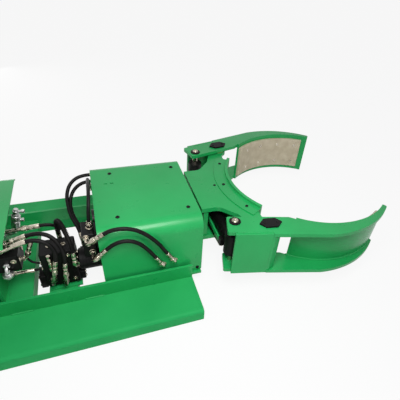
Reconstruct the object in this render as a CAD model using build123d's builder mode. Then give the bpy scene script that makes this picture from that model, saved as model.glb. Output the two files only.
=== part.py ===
"""Fork-mounted drum clamp and rotator: pockets, rotator, turning head and two gripping arms.

Millimetres. +X points forward to the drum, +Y to the left, +Z up. The fork pockets stand on z = 0.
"""
import os
from math import cos, atan2, pi, radians, sin, sqrt, tan

from build123d import *

os.makedirs("parts", exist_ok=True)

# Main stations along X and heights
PIVOT_X = 366.7
PIVOT_Y = 320
DRUM_REACH = 303
AXIS_Z = 232.5
ARM_TOP = 340
ARM_BOTTOM = 125
RUN_GAP = 0.05

# Fork pockets and rails
POCKET_FRONT = PIVOT_X - 289
POCKET_REAR = PIVOT_X - 1290
POCKET_OUT = 438
POCKET_H = 54
POCKET_T = 8
POCKET_BEND = 14
STRAP_SHARES = (0.06, 0.5, 0.94)
STRAP_L = 60
STRAP_T = 6
RAIL_IN = 249
RAIL_T = 10
RAIL_H = 66

# Cross-members and rotator base
CROSS_TOP = 70
CROSS_H = 60
CROSS_T = 8
CROSS_MID = (PIVOT_X - 838, PIVOT_X - 737)
CROSS_MID_END = 40
CROSS_REAR = (PIVOT_X - 973, PIVOT_X - 895)
BASE_T = 12
BASE_Z = POCKET_H
BASE_INSET = 3

# Rotator cover and bulkheads
COVER_FRONT = PIVOT_X - 243
COVER_REAR = PIVOT_X - 633
COVER_W = 237
COVER_TOP = 346
COVER_LOW = 69
COVER_T = 4
COVER_BEND = 53
SLOT_PLACES = ((PIVOT_X - 577, 77), (PIVOT_X - 552, 78))
SLOT_L = 14
SLOT_W = 7
BULKHEAD_T = 20
BULKHEAD_W = 228
BULKHEAD_BEND = 44
FRONT_BULKHEAD = COVER_FRONT - 27
REAR_BULKHEAD = COVER_REAR + 43
LEDGE_L = 68
LEDGE_T = 8
LEDGE_IN = 112
SCREW_X = (PIVOT_X - 554, PIVOT_X - 284)
SCREW_Y = 152
SCREW_HEAD_R = 8
SCREW_HEAD_H = 4
SCREW_HEAD_TAPER = 25
SCREW_R = 4
SCREW_GRIP = 8
SCREW_HOLE_L = 40
SIDE_SCREW_X = PIVOT_X - 261
SIDE_SCREW_Z = 82

# Spindle, bearings and gears
SPINDLE_R = 40
SPINDLE_BORE_R = 20
SPINDLE_TAIL = 14
FLANGE_R = 62
FLANGE_T = 18
FLANGE_BOLTS = 8
FLANGE_PCD_R = 51
FLANGE_BOLT_H = 7
BEARING_R = 65
GEAR_MODULE = 4
RING_TEETH = 52
PINION_TEETH = 30
GEAR_W = 30
GEAR_X = REAR_BULKHEAD + 40
TOOTH_DEPTH = 1.2
TOOTH_HEIGHT = 0.85
TOOTH_ROOT_SHARE = 0.34
TOOTH_TIP_SHARE = 0.12
MOTOR_Y = -150
MOTOR_Z = AXIS_Z - sqrt((GEAR_MODULE * (RING_TEETH + PINION_TEETH) / 2) ** 2 - MOTOR_Y**2)
PINION_SHAFT_R = 16
PINION_TAIL = 30
PINION_HOLE_GAP = 1
SHAFT_END_GAP = 0.5

# Motor and its block
MOTOR_R = 42
MOTOR_L = 113
MOTOR_CHAMFER = 4
MOTOR_FLANGE = 104
MOTOR_FLANGE_T = 12
MOTOR_CORNER = 14
MOTOR_REAR = REAR_BULKHEAD - MOTOR_FLANGE_T - MOTOR_L
SADDLE_X = (MOTOR_REAR + 28, MOTOR_REAR + 70)
SADDLE_HALF_W = 26
SADDLE_Z = MOTOR_Z + MOTOR_R + 2
PORT_BOSS_X = (MOTOR_REAR + 8, MOTOR_REAR + 70)
PORT_BOSS_HALF_H = 22
PORT_BOSS_Y = MOTOR_Y + MOTOR_R + 4
BLOCK_Y = (MOTOR_Y - 40, MOTOR_Y + 40)
BLOCK_TOP = 316
BLOCK_CHAMFER = 3

# Manifold and valve block
MANIFOLD_X = (PIVOT_X - 838, PIVOT_X - 719)
MANIFOLD_Y = (-192, -112)
MANIFOLD_Z = (92, 258)
EDGE_CHAMFER = 4
FOOT_X = (CROSS_MID[0] + 6, CROSS_MID[1] + 20)
FOOT_Y = (MANIFOLD_Y[0] - 6, MANIFOLD_Y[1] + 40)
FOOT_T = 6
STAND_X = (CROSS_MID[0] + 16, CROSS_MID[1])
STAND_Y = (MANIFOLD_Y[0] + 14, MANIFOLD_Y[1] - 14)
VALVE_X = (PIVOT_X - 985, PIVOT_X - 898)
VALVE_Y = (-196, -106)
VALVE_Z = (208, 276)
PORT_R = 9
PORT_L = 22
PORT_LEVELS = (224, 250)

# Rear housing: its walls start further back than the roof
HOUSING_FRONT = PIVOT_X - 925
HOUSING_REAR = POCKET_REAR + 4
HOUSING_W = 220
HOUSING_T = 6
HOUSING_BEND = 30
WALL_FRONT = PIVOT_X - 1045
ROOF_LIP = 12
PANEL_T = 10
PANEL_X = VALVE_X[0] - PANEL_T
PANEL_FAR_EDGE = 30
REAR_PANEL_X = HOUSING_REAR + 8

# Head plates and cradle
RIB_T = 16
HEAD_REAR = PIVOT_X - 224
HEAD_T = 20
HEAD_GAP = 6
HEAD_TOP = ARM_TOP - RIB_T - HEAD_GAP
HEAD_LOW = ARM_BOTTOM + RIB_T + HEAD_GAP
HEAD_NECK = 146
NECK_FRONT = PIVOT_X - 150
NECK_FILLET = 40
SHOULDER = (PIVOT_X - 92, 208)
THROAT = (PIVOT_X - 1, 246)
EAR_R = 42
BACK_PLATE_X = HEAD_REAR + 11
BACK_PLATE_T = 20
BACK_PLATE_INSET = 6
CRADLE_R = 342
CRADLE_FACE_T = 13
CRADLE_FIT = 0.2
CRADLE_FLANGE_W = 66
CRADLE_FLANGE_T = 4
CRADLE_LIP = 16
CRADLE_FACE_H = 50
CRADLE_HALF_Y = 196
CRADLE_BOLT_ANGLES = (-27, 0, 27)
CRADLE_BOLT_R = CRADLE_R + 40
HEX_R = 8
HEX_H = 5
WEB_T = 16
WEB_HALF_Y = CRADLE_HALF_Y - 26

# Arms, measured from the pivot with the arms closed on the grip circle
OPEN_ANGLE = 7
GRIP_R = 350
SHELL_T = 10
PAD_T = 15
SHELL_START = 122
RIB_START = 123.6
RIB_MIDDLE = 85
TIP_ANGLE = 47
TIP_DEPTH = 9
TIP_FILLET = 8
PAD_START = 121.3
PAD_END = 52
PAD_MARGIN = 22
LEVER_U = -136.5
LEVER_V = -28.6
RIB_OUTLINE = (
    (230, 92), (-4, 60), (-4, 47), (-150, 32), (-177, 28), (-163, -62), (35, -37), (87, -30),
)
RIB_CROWN = (405, 58)
RIB_HEEL_FILLET = 8
WRAPPER_T = 12
WRAPPER_LINE = ((-149, 38.5), (-4.2, 53.4))
WRAPPER_INSET = 2
RETURN_LINE = ((-20, 51.5), (4, 53.5), (27, 42))
RETURN_T = 10
PIN_R = 20
PIN_HEAD_R = 30
PIN_HEAD_H = 8
BUSH_R = 27
BUSH_FLANGE_R = 38
BUSH_CLEAR = 0.3
LEVER_PIN_R = 13
LEVER_PIN_STAND = 8
LEVER_PIN_CHAMFER = 2
LEVER_WASHER_R = 23
LEVER_WASHER_T = 4
KEEPER_L = 92
KEEPER_W = 50
KEEPER_T = 8
KEEPER_POINT = 22
KEEPER_SCREW_INSET = 20

# Clamp cylinder
LEVER_TURN = radians(OPEN_ANGLE)
LEVER_X = PIVOT_X + LEVER_U * cos(LEVER_TURN) - LEVER_V * sin(LEVER_TURN)
LEVER_Y = PIVOT_Y + LEVER_U * sin(LEVER_TURN) + LEVER_V * cos(LEVER_TURN)
BARREL_R = 31
BORE_R = 24
BARREL_END = 95
BARREL_BASE = -232
GLAND_L = 22
GLAND_R = 35
ROD_R = 17
PISTON_Y = -62
PISTON_L = 34
EYE_R = 33
EYE_H = 100
BARREL_PORTS = (-240, 78)
BARREL_PORT_X = LEVER_X - 42
BARREL_PORT_HALF_W = 12
BARREL_PORT_Z = 200

# Hoses and their fittings
HOSE_D = 15
SLIM_D = 13
ARC_SHARE = 0.45
NUT_R = 12
NUT_L = 16
FERRULE_R = 9.5
FERRULE_L = 44
LONG_FERRULE_L = 60
SHORT_FERRULE_L = 28
STEM_FERRULE_L = 12
ELBOW_R = 8
ELBOW_BALL_R = 9.4
SHARP_ELBOW = 120

# Port faces that the fittings end on: the axis across the face, and its level
BLOCK_SIDE = ("Y", BLOCK_Y[0])
BLOCK_ROOF = ("Z", BLOCK_TOP)
COVER_SIDE = ("Y", -COVER_W)
BULKHEAD_BACK = ("X", REAR_BULKHEAD)
MOTOR_SIDE = ("Y", PORT_BOSS_Y)
PANEL_FACE = ("X", PANEL_X + PANEL_T)
MANIFOLD_NEAR = ("Y", MANIFOLD_Y[0])
MANIFOLD_FAR = ("Y", MANIFOLD_Y[1])
BARREL_FACE = ("Z", BARREL_PORT_Z)

# Each hose: its diameter, the fitting at each end (group, port face, stub and ferrule),
# and its route as distance from the pivots along X, then Y and Z
HOSES = {
    "side_hose_upper": (
        HOSE_D,
        ("motor", BLOCK_SIDE, 26, FERRULE_L),
        ("rotator", COVER_SIDE, 14, FERRULE_L),
        [
            (-610, -250, 360), (-592, -256, 376), (-551, -260, 382), (-508, -263, 371), (-474, -265, 346),
            (-446, -263, 312), (-422, -261, 276), (-405, -258, 241), (-393, -256, 218),
        ],
    ),
    "side_hose_lower": (
        HOSE_D,
        ("motor", BLOCK_SIDE, 17, FERRULE_L),
        ("rotator", COVER_SIDE, 14, FERRULE_L),
        [
            (-609, -256, 290), (-597, -259, 304), (-569, -260, 320), (-534, -261, 322), (-502, -264, 308),
            (-480, -263, 282), (-461, -261, 252), (-447, -259, 226), (-437, -257, 206),
        ],
    ),
    "loop_hose_outer": (
        HOSE_D,
        ("rotator", BULKHEAD_BACK, 0, SHORT_FERRULE_L),
        ("motor", MOTOR_SIDE, 0, FERRULE_L),
        [
            (-634, 200, 322), (-666, 200, 322), (-701, 189, 314), (-727, 168, 295), (-740, 134, 267),
            (-738, 95, 244), (-732, 54, 223), (-717, 15, 211), (-706, -14, 202), (-701, -38, 195),
        ],
    ),
    "loop_hose_inner": (
        HOSE_D,
        ("rotator", BULKHEAD_BACK, 0, SHORT_FERRULE_L),
        ("motor", MOTOR_SIDE, 0, FERRULE_L),
        [
            (-634, 178, 302), (-662, 178, 302), (-696, 169, 289), (-719, 151, 268), (-731, 122, 242),
            (-729, 85, 222), (-718, 48, 206), (-704, 14, 197), (-691, -10, 193), (-680, -38, 186),
        ],
    ),
    "valve_hose_upper": (
        HOSE_D,
        ("panel", PANEL_FACE, 30, LONG_FERRULE_L),
        ("manifold", MANIFOLD_NEAR, 50, FERRULE_L),
        [
            (-872, -160, 326), (-838, -161, 337), (-797, -172, 334), (-770, -187, 313), (-756, -200, 279),
            (-753, -208, 246), (-757, -211, 216),
        ],
    ),
    "valve_hose_lower": (
        HOSE_D,
        ("panel", PANEL_FACE, 24, FERRULE_L),
        ("manifold", MANIFOLD_NEAR, 55, FERRULE_L),
        [
            (-895, -190, 320), (-864, -191, 331), (-832, -193, 333), (-803, -198, 321), (-785, -204, 299),
            (-779, -209, 272), (-781, -212, 251), (-785, -213, 235),
        ],
    ),
    "panel_hose": (
        SLIM_D,
        ("panel", PANEL_FACE, 66, FERRULE_L),
        ("manifold", MANIFOLD_FAR, 16, FERRULE_L),
        [
            (-834, -58, 284), (-819, -58, 285), (-798, -56, 280), (-779, -53, 269), (-765, -50, 252),
            (-756, -48, 232), (-754, -46, 210), (-754, -46, 192),
        ],
    ),
    "guarded_hose": (
        SLIM_D,
        ("manifold", MANIFOLD_NEAR, 12, FERRULE_L),
        ("manifold", MANIFOLD_FAR, 16, FERRULE_L),
        [
            (-724, -206, 258), (-724, -206, 286), (-728, -196, 312), (-735, -177, 332), (-744, -153, 343),
            (-754, -127, 343), (-763, -103, 332), (-770, -84, 312), (-774, -74, 286), (-774, -74, 258),
        ],
    ),
    "edge_hose": (
        SLIM_D,
        ("motor", BLOCK_ROOF, 0, STEM_FERRULE_L),
        ("rotator", BULKHEAD_BACK, 8, SHORT_FERRULE_L),
        [
            (-655, -150, 344), (-655, -150, 370), (-653, -141, 395), (-650, -123, 415), (-647, -98, 427),
            (-645, -69, 430), (-643, -34, 426), (-642, 4, 416), (-642, 40, 401), (-642, 73, 380),
            (-642, 99, 355), (-642, 117, 326),
        ],
    ),
    "cylinder_hose": (
        SLIM_D,
        ("cylinder", BARREL_FACE, 8, FERRULE_L),
        ("cylinder", BARREL_FACE, 8, FERRULE_L),
        [(-164, -172, 184), (-166, -131, 181), (-167, -81, 180), (-166, -31, 181), (-164, 10, 184)],
    ),
}


def save(piece, label):
    """Names a finished piece and writes its STEP file."""
    piece.label = label
    export_step(piece, f"parts/{label}.step")


def group(pieces):
    """One node holding several separate solids."""
    with BuildPart() as gathered:
        add(pieces)
    return gathered.part


def box(x_span, y_span, z_span):
    """A plain block between three pairs of limits."""
    size = [span[1] - span[0] for span in (x_span, y_span, z_span)]
    middle = tuple((span[0] + span[1]) / 2 for span in (x_span, y_span, z_span))
    with BuildPart() as block:
        with Locations(middle):
            Box(*size)
    return block.part


def bent_sheet(x_span, half_width, top, low, thickness, bend):
    """An inverted U of sheet metal with round bends, running along X."""
    with BuildPart() as sheet:
        with BuildSketch(Plane.YZ.offset(x_span[0])):
            for inset, cut in ((0, Mode.ADD), (thickness, Mode.SUBTRACT)):
                half, height = half_width - inset, top - inset
                corners = ((-half, low), (-half, height), (half, height), (half, low))
                with BuildLine():
                    FilletPolyline(*corners, radius=bend - inset)
                    Line((half, low), (-half, low))
                make_face(mode=cut)
        extrude(amount=x_span[1] - x_span[0])
    return sheet.part


# Fork pockets: bent channels, open below, tied by three straps each
def fork_pocket(side):
    inner, outer = side * RAIL_IN, side * POCKET_OUT
    middle = (inner + outer) / 2
    width = abs(outer - inner)
    length = POCKET_FRONT - POCKET_REAR
    with BuildPart() as pocket:
        with BuildSketch(Plane.YZ.offset(POCKET_REAR)):
            with Locations((middle, POCKET_H / 2)):
                Rectangle(width, POCKET_H)
            with Locations((middle, (POCKET_H - POCKET_T) / 2)):
                Rectangle(width - 2 * POCKET_T, POCKET_H - POCKET_T, mode=Mode.SUBTRACT)
        extrude(amount=length)
        long_edges = pocket.edges().filter_by(Axis.X).group_by(Axis.Z)[-1]
        outer_edge = long_edges.sort_by(lambda edge: abs(edge.center().Y))[-1]
        fillet(outer_edge, POCKET_BEND)
        for share in STRAP_SHARES:
            with Locations((POCKET_REAR + share * length, middle, STRAP_T / 2)):
                Box(STRAP_L, width - 2 * POCKET_T, STRAP_T)
    return pocket.part


save(fork_pocket(-1), "near_fork_pocket")
save(fork_pocket(1), "far_fork_pocket")

rail_span = (POCKET_REAR, POCKET_FRONT)
rail_z = (POCKET_H, POCKET_H + RAIL_H)
rail_ys = ((-RAIL_IN - RAIL_T, -RAIL_IN), (RAIL_IN, RAIL_IN + RAIL_T))
save(group([box(rail_span, rail_y, rail_z) for rail_y in rail_ys]), "side_rails")


# Cross-members: inverted channels on the near rail; the middle one stops short of the far rail
def cross_member(x_span, far_end):
    low = CROSS_TOP - CROSS_H
    y_span = (-RAIL_IN, far_end)
    with BuildPart() as member:
        add(box(x_span, y_span, (low, CROSS_TOP)))
        hollow = (x_span[0] + CROSS_T, x_span[1] - CROSS_T)
        add(box(hollow, y_span, (low, CROSS_TOP - CROSS_T)), mode=Mode.SUBTRACT)
    return member.part


save(group([cross_member(CROSS_MID, CROSS_MID_END), cross_member(CROSS_REAR, RAIL_IN)]), "cross_members")

base_span = (COVER_REAR + BASE_INSET, COVER_FRONT - BASE_INSET)
save(box(base_span, (-RAIL_IN, RAIL_IN), (BASE_Z, BASE_Z + BASE_T)), "rotator_base")


# Bulkheads: plates with a bearing bore and two ledges that take the cover's screws
def bulkhead(x_rear, ledge_x, pinion_hole):
    top = COVER_TOP - COVER_T
    low = BASE_Z + BASE_T
    ledge_out = BULKHEAD_W - BULKHEAD_BEND
    with BuildPart() as plate:
        with BuildSketch(Plane.YZ.offset(x_rear)) as profile:
            with Locations((0, (top + low) / 2)):
                Rectangle(2 * BULKHEAD_W, top - low)
            fillet(profile.vertices().group_by(Axis.Y)[-1], BULKHEAD_BEND)
            with Locations((0, AXIS_Z)):
                Circle(BEARING_R, mode=Mode.SUBTRACT)
            if pinion_hole:
                with Locations((MOTOR_Y, MOTOR_Z)):
                    Circle(PINION_SHAFT_R + PINION_HOLE_GAP, mode=Mode.SUBTRACT)
        extrude(amount=BULKHEAD_T)
        for ledge_y in ((-ledge_out, -LEDGE_IN), (LEDGE_IN, ledge_out)):
            add(box(ledge_x, ledge_y, (top - LEDGE_T, top)))
        for screw_x in SCREW_X:
            with Locations((screw_x, -SCREW_Y, top), (screw_x, SCREW_Y, top)):
                Cylinder(SCREW_R, SCREW_HOLE_L, mode=Mode.SUBTRACT)
    return plate.part


front_ledge = (FRONT_BULKHEAD - LEDGE_L, FRONT_BULKHEAD)
rear_ledge = (REAR_BULKHEAD + BULKHEAD_T, REAR_BULKHEAD + BULKHEAD_T + LEDGE_L)
save(bulkhead(FRONT_BULKHEAD, front_ledge, False), "front_bulkhead")
save(bulkhead(REAR_BULKHEAD, rear_ledge, True), "rear_bulkhead")

# Cover of the rotator with its screw holes and two small slots
with BuildPart() as cover:
    add(bent_sheet((COVER_REAR, COVER_FRONT), COVER_W, COVER_TOP, COVER_LOW, COVER_T, COVER_BEND))
    for screw_x in SCREW_X:
        with Locations((screw_x, -SCREW_Y, COVER_TOP), (screw_x, SCREW_Y, COVER_TOP)):
            Cylinder(SCREW_R, SCREW_HOLE_L, mode=Mode.SUBTRACT)
    with Locations(*[(x, y, COVER_TOP) for x, y in SLOT_PLACES]):
        Box(SLOT_L, SLOT_W, SCREW_HOLE_L, mode=Mode.SUBTRACT)
    with Locations((SIDE_SCREW_X, 0, SIDE_SCREW_Z)):
        Cylinder(SCREW_R, 4 * COVER_W, rotation=(90, 0, 0), mode=Mode.SUBTRACT)
save(cover.part, "cover")


# Cover screws: button heads over plain shanks
def cover_screw(place, outward):
    with BuildPart() as screw:
        with BuildSketch(Plane(origin=place, z_dir=outward)):
            Circle(SCREW_HEAD_R)
        extrude(amount=SCREW_HEAD_H, taper=SCREW_HEAD_TAPER)
        with BuildSketch(Plane(origin=place, z_dir=outward)):
            Circle(SCREW_R)
        extrude(amount=-SCREW_GRIP)
    return screw.part


screw_places = [((x, side * SCREW_Y, COVER_TOP), (0, 0, 1)) for x in SCREW_X for side in (-1, 1)]
screw_places += [((SIDE_SCREW_X, side * COVER_W, SIDE_SCREW_Z), (0, side, 0)) for side in (-1, 1)]
save(group([cover_screw(place, outward) for place, outward in screw_places]), "cover_screws")


# Spindle and its bearings
def bearing(x_rear):
    with BuildPart() as ring:
        with BuildSketch(Plane.YZ.offset(x_rear)):
            with Locations((0, AXIS_Z)):
                Circle(BEARING_R)
                Circle(SPINDLE_R + RUN_GAP, mode=Mode.SUBTRACT)
        extrude(amount=BULKHEAD_T)
    return ring.part


save(group([bearing(FRONT_BULKHEAD), bearing(REAR_BULKHEAD)]), "spindle_bearings")

spindle_rear = COVER_REAR - SPINDLE_TAIL
with BuildPart() as spindle:
    with BuildSketch(Plane.YZ.offset(spindle_rear)):
        with Locations((0, AXIS_Z)):
            Circle(SPINDLE_R)
    extrude(amount=BACK_PLATE_X - spindle_rear)
    with BuildSketch(Plane.YZ.offset(BACK_PLATE_X - FLANGE_T)):
        with Locations((0, AXIS_Z)):
            Circle(FLANGE_R)
    extrude(amount=FLANGE_T)
    with Locations((0, 0, AXIS_Z)):
        Cylinder(SPINDLE_BORE_R, 4 * PIVOT_X, rotation=(0, 90, 0), mode=Mode.SUBTRACT)
save(spindle.part, "spindle")


# Spur gears: straight-flanked teeth with backlash
def gear_points(teeth, first_tooth, centre):
    pitch_r = GEAR_MODULE * teeth / 2
    root_r = pitch_r - TOOTH_DEPTH * GEAR_MODULE
    tip_r = pitch_r + TOOTH_HEIGHT * GEAR_MODULE
    step = 2 * pi / teeth
    corners = (
        (root_r, -TOOTH_ROOT_SHARE),
        (tip_r, -TOOTH_TIP_SHARE),
        (tip_r, TOOTH_TIP_SHARE),
        (root_r, TOOTH_ROOT_SHARE),
    )
    points = []
    for tooth in range(teeth):
        for radius, share in corners:
            angle = first_tooth + (tooth + share) * step
            points.append((centre[0] + radius * cos(angle), centre[1] + radius * sin(angle)))
    return points


def gear(teeth, first_tooth, centre, bore_r):
    with BuildPart() as wheel:
        with BuildSketch(Plane.YZ.offset(GEAR_X)):
            with BuildLine():
                Polyline(*gear_points(teeth, first_tooth, centre), close=True)
            make_face()
            with Locations(centre):
                Circle(bore_r, mode=Mode.SUBTRACT)
        extrude(amount=GEAR_W)
    return wheel.part


mesh_angle = atan2(MOTOR_Z - AXIS_Z, MOTOR_Y)
save(gear(RING_TEETH, mesh_angle, (0, AXIS_Z), SPINDLE_R), "ring_gear")

shaft_rear = REAR_BULKHEAD - MOTOR_FLANGE_T - PINION_TAIL
with BuildPart() as pinion:
    add(gear(PINION_TEETH, mesh_angle + pi + pi / PINION_TEETH, (MOTOR_Y, MOTOR_Z), PINION_SHAFT_R))
    with BuildSketch(Plane.YZ.offset(shaft_rear)):
        with Locations((MOTOR_Y, MOTOR_Z)):
            Circle(PINION_SHAFT_R)
    extrude(amount=GEAR_X + GEAR_W - shaft_rear)
save(pinion.part, "motor_pinion")

# Hydraulic motor behind the rear bulkhead, with a saddle on top and a port boss on its far side
boss_z = (MOTOR_Z - PORT_BOSS_HALF_H, MOTOR_Z + PORT_BOSS_HALF_H)
with BuildPart() as motor:
    with BuildSketch(Plane.YZ.offset(REAR_BULKHEAD)):
        with Locations((MOTOR_Y, MOTOR_Z)):
            RectangleRounded(MOTOR_FLANGE, MOTOR_FLANGE, MOTOR_CORNER)
    extrude(amount=-MOTOR_FLANGE_T)
    with BuildSketch(Plane.YZ.offset(REAR_BULKHEAD - MOTOR_FLANGE_T)):
        with Locations((MOTOR_Y, MOTOR_Z)):
            Circle(MOTOR_R)
    extrude(amount=-MOTOR_L)
    chamfer(motor.edges().group_by(Axis.X)[0], MOTOR_CHAMFER)
    add(box(SADDLE_X, (MOTOR_Y - SADDLE_HALF_W, MOTOR_Y + SADDLE_HALF_W), (MOTOR_Z, SADDLE_Z)))
    add(box(PORT_BOSS_X, (MOTOR_Y, PORT_BOSS_Y), boss_z))
    with BuildSketch(Plane.YZ.offset(REAR_BULKHEAD)):
        with Locations((MOTOR_Y, MOTOR_Z)):
            Circle(PINION_SHAFT_R + RUN_GAP)
    extrude(amount=shaft_rear - SHAFT_END_GAP - REAR_BULKHEAD, mode=Mode.SUBTRACT)
save(motor.part, "hydraulic_motor")

with BuildPart() as motor_block:
    add(box(SADDLE_X, BLOCK_Y, (SADDLE_Z, BLOCK_TOP)))
    chamfer(motor_block.edges().group_by(Axis.Z)[-1], BLOCK_CHAMFER)
save(motor_block.part, "counterbalance_block")

# Manifold on its bracket over the middle cross-member
with BuildPart() as manifold:
    add(box(MANIFOLD_X, MANIFOLD_Y, MANIFOLD_Z))
    chamfer(manifold.edges().filter_by(Axis.Z), EDGE_CHAMFER)
    chamfer(manifold.edges().group_by(Axis.Z)[-1], BLOCK_CHAMFER)
save(manifold.part, "manifold")

with BuildPart() as bracket:
    add(box(FOOT_X, FOOT_Y, (CROSS_TOP, CROSS_TOP + FOOT_T)))
    add(box(STAND_X, STAND_Y, (CROSS_TOP, MANIFOLD_Z[0])))
save(bracket.part, "manifold_bracket")

# Valve block on the front panel of the rear housing, with two free supply ports
with BuildPart() as valve:
    add(box(VALVE_X, VALVE_Y, VALVE_Z))
    chamfer(valve.edges().filter_by(Axis.Z), EDGE_CHAMFER)
    for port_z in PORT_LEVELS:
        with Locations((sum(VALVE_X) / 2, VALVE_Y[1] - PORT_L / 2, port_z)):
            Cylinder(PORT_R, PORT_L, rotation=(90, 0, 0), mode=Mode.SUBTRACT)
save(valve.part, "valve_block")

# Rear housing on its floor plate: the roof reaches forward over open corners
housing_x = (HOUSING_REAR, HOUSING_FRONT)
corner_ys = ((-HOUSING_W, HOUSING_BEND - HOUSING_W), (HOUSING_W - HOUSING_BEND, HOUSING_W))
with BuildPart() as housing:
    add(bent_sheet(housing_x, HOUSING_W, ARM_TOP, CROSS_TOP, HOUSING_T, HOUSING_BEND))
    for corner_y in corner_ys:
        corner = box((WALL_FRONT, HOUSING_FRONT), corner_y, (CROSS_TOP, ARM_TOP - ROOF_LIP))
        add(corner, mode=Mode.SUBTRACT)
save(housing.part, "rear_housing")
save(box((HOUSING_REAR, CROSS_REAR[0]), (-RAIL_IN, RAIL_IN), (POCKET_H, CROSS_TOP)), "rear_base")


# Panels inside the rear housing: one behind, and one in front that carries the valve block
def housing_panel(x_rear, far_edge):
    near_edge = HOUSING_T - HOUSING_W
    top = ARM_TOP - HOUSING_T
    with BuildPart() as panel:
        with BuildSketch(Plane.YZ.offset(x_rear)) as profile:
            with Locations(((near_edge + far_edge) / 2, (top + CROSS_TOP) / 2)):
                Rectangle(far_edge - near_edge, top - CROSS_TOP)
            fillet(profile.vertices().group_by(Axis.Y)[-1], HOUSING_BEND - HOUSING_T)
        extrude(amount=PANEL_T)
    return panel.part


front_panel = housing_panel(PANEL_X, PANEL_FAR_EDGE)
rear_panel = housing_panel(REAR_PANEL_X, HOUSING_W - HOUSING_T)
save(group([front_panel, rear_panel]), "housing_panels")


# Head plates: neck, flared shoulders, ears round the pivots and a concave front
def head_plate(z_low):
    near_half = [
        (HEAD_REAR, -HEAD_NECK),
        (NECK_FRONT, -HEAD_NECK),
        (SHOULDER[0], -SHOULDER[1]),
        (PIVOT_X - EAR_R, -PIVOT_Y),
        (PIVOT_X + EAR_R, -PIVOT_Y),
        (THROAT[0], -THROAT[1]),
    ]
    far_half = [(x, -y) for x, y in reversed(near_half)]
    with BuildPart() as plate:
        with BuildSketch(Plane.XY.offset(z_low)):
            with BuildLine():
                Polyline(*near_half, *far_half, close=True)
            make_face()
            with Locations((PIVOT_X, -PIVOT_Y), (PIVOT_X, PIVOT_Y)):
                Circle(EAR_R)
            with Locations((PIVOT_X + DRUM_REACH, 0)):
                Circle(CRADLE_R + CRADLE_FACE_T, mode=Mode.SUBTRACT)
            with Locations((PIVOT_X, -PIVOT_Y), (PIVOT_X, PIVOT_Y)):
                Circle(BUSH_R, mode=Mode.SUBTRACT)
        extrude(amount=HEAD_T)
        upright_edges = plate.edges().filter_by(Axis.Z)
        fillet(upright_edges.filter_by_position(Axis.X, NECK_FRONT - 1, NECK_FRONT + 1), NECK_FILLET)
    return plate.part


save(head_plate(HEAD_TOP - HEAD_T), "head_top_plate")
save(head_plate(HEAD_LOW), "head_bottom_plate")

inner_z = (HEAD_LOW + HEAD_T, HEAD_TOP - HEAD_T)
back_half = HEAD_NECK - BACK_PLATE_INSET
with BuildPart() as back_plate:
    add(box((BACK_PLATE_X, BACK_PLATE_X + BACK_PLATE_T), (-back_half, back_half), inner_z))
    with Locations((BACK_PLATE_X, 0, AXIS_Z)):
        Cylinder(SPINDLE_BORE_R, 4 * BACK_PLATE_T, rotation=(0, 90, 0), mode=Mode.SUBTRACT)
save(back_plate.part, "head_back_plate")

with BuildPart() as flange_bolts:
    for turn in range(FLANGE_BOLTS):
        angle = 2 * pi * turn / FLANGE_BOLTS
        centre = (FLANGE_PCD_R * cos(angle), AXIS_Z + FLANGE_PCD_R * sin(angle))
        with BuildSketch(Plane.YZ.offset(BACK_PLATE_X + BACK_PLATE_T)):
            with Locations(centre):
                RegularPolygon(HEX_R, 6)
        extrude(amount=FLANGE_BOLT_H)


# Curved pieces round the drum's axis between two radii
def drum_sector(r_in, r_out, half_y, z_span):
    half_angle = atan2(half_y, sqrt(r_in**2 - half_y**2))
    centre = (PIVOT_X + DRUM_REACH, 0)
    wedge_x = centre[0] - 2 * r_out
    wedge_y = 2 * r_out * tan(half_angle)
    with BuildPart() as sector:
        with BuildSketch(Plane.XY.offset(z_span[0])):
            with Locations(centre):
                Circle(r_out)
                Circle(r_in, mode=Mode.SUBTRACT)
            with BuildLine():
                Polyline(centre, (wedge_x, wedge_y), (wedge_x, -wedge_y), close=True)
            make_face(mode=Mode.INTERSECT)
        extrude(amount=z_span[1] - z_span[0])
    return sector.part


web_r = CRADLE_R + CRADLE_FACE_T
save(drum_sector(web_r, web_r + WEB_T, WEB_HALF_Y, inner_z), "head_front_web")


# Cradle strips: a bolted flange, and a face towards the drum that stands above it as a lip
def cradle_strip(seat_z, up):
    flange = sorted((seat_z, seat_z + up * CRADLE_FLANGE_T))
    face = sorted((seat_z + up * CRADLE_LIP, seat_z - up * (CRADLE_FACE_H - CRADLE_LIP)))
    with BuildPart() as strip:
        add(drum_sector(CRADLE_R, CRADLE_R + CRADLE_FACE_T - CRADLE_FIT, CRADLE_HALF_Y, face))
        add(drum_sector(CRADLE_R, CRADLE_R + CRADLE_FLANGE_W, CRADLE_HALF_Y, flange))
    return strip.part


save(group([cradle_strip(HEAD_TOP, 1), cradle_strip(HEAD_LOW, -1)]), "cradle_strips")

with BuildPart() as cradle_bolts:
    for angle in CRADLE_BOLT_ANGLES:
        turn = radians(angle)
        place = (PIVOT_X + DRUM_REACH - CRADLE_BOLT_R * cos(turn), CRADLE_BOLT_R * sin(turn))
        for seat, lift in ((HEAD_TOP + CRADLE_FLANGE_T, HEX_H), (HEAD_LOW - CRADLE_FLANGE_T, -HEX_H)):
            with BuildSketch(Plane.XY.offset(seat)):
                with Locations(place):
                    RegularPolygon(HEX_R, 6)
            extrude(amount=lift)
save(group([flange_bolts.part, cradle_bolts.part]), "head_bolts")


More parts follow.
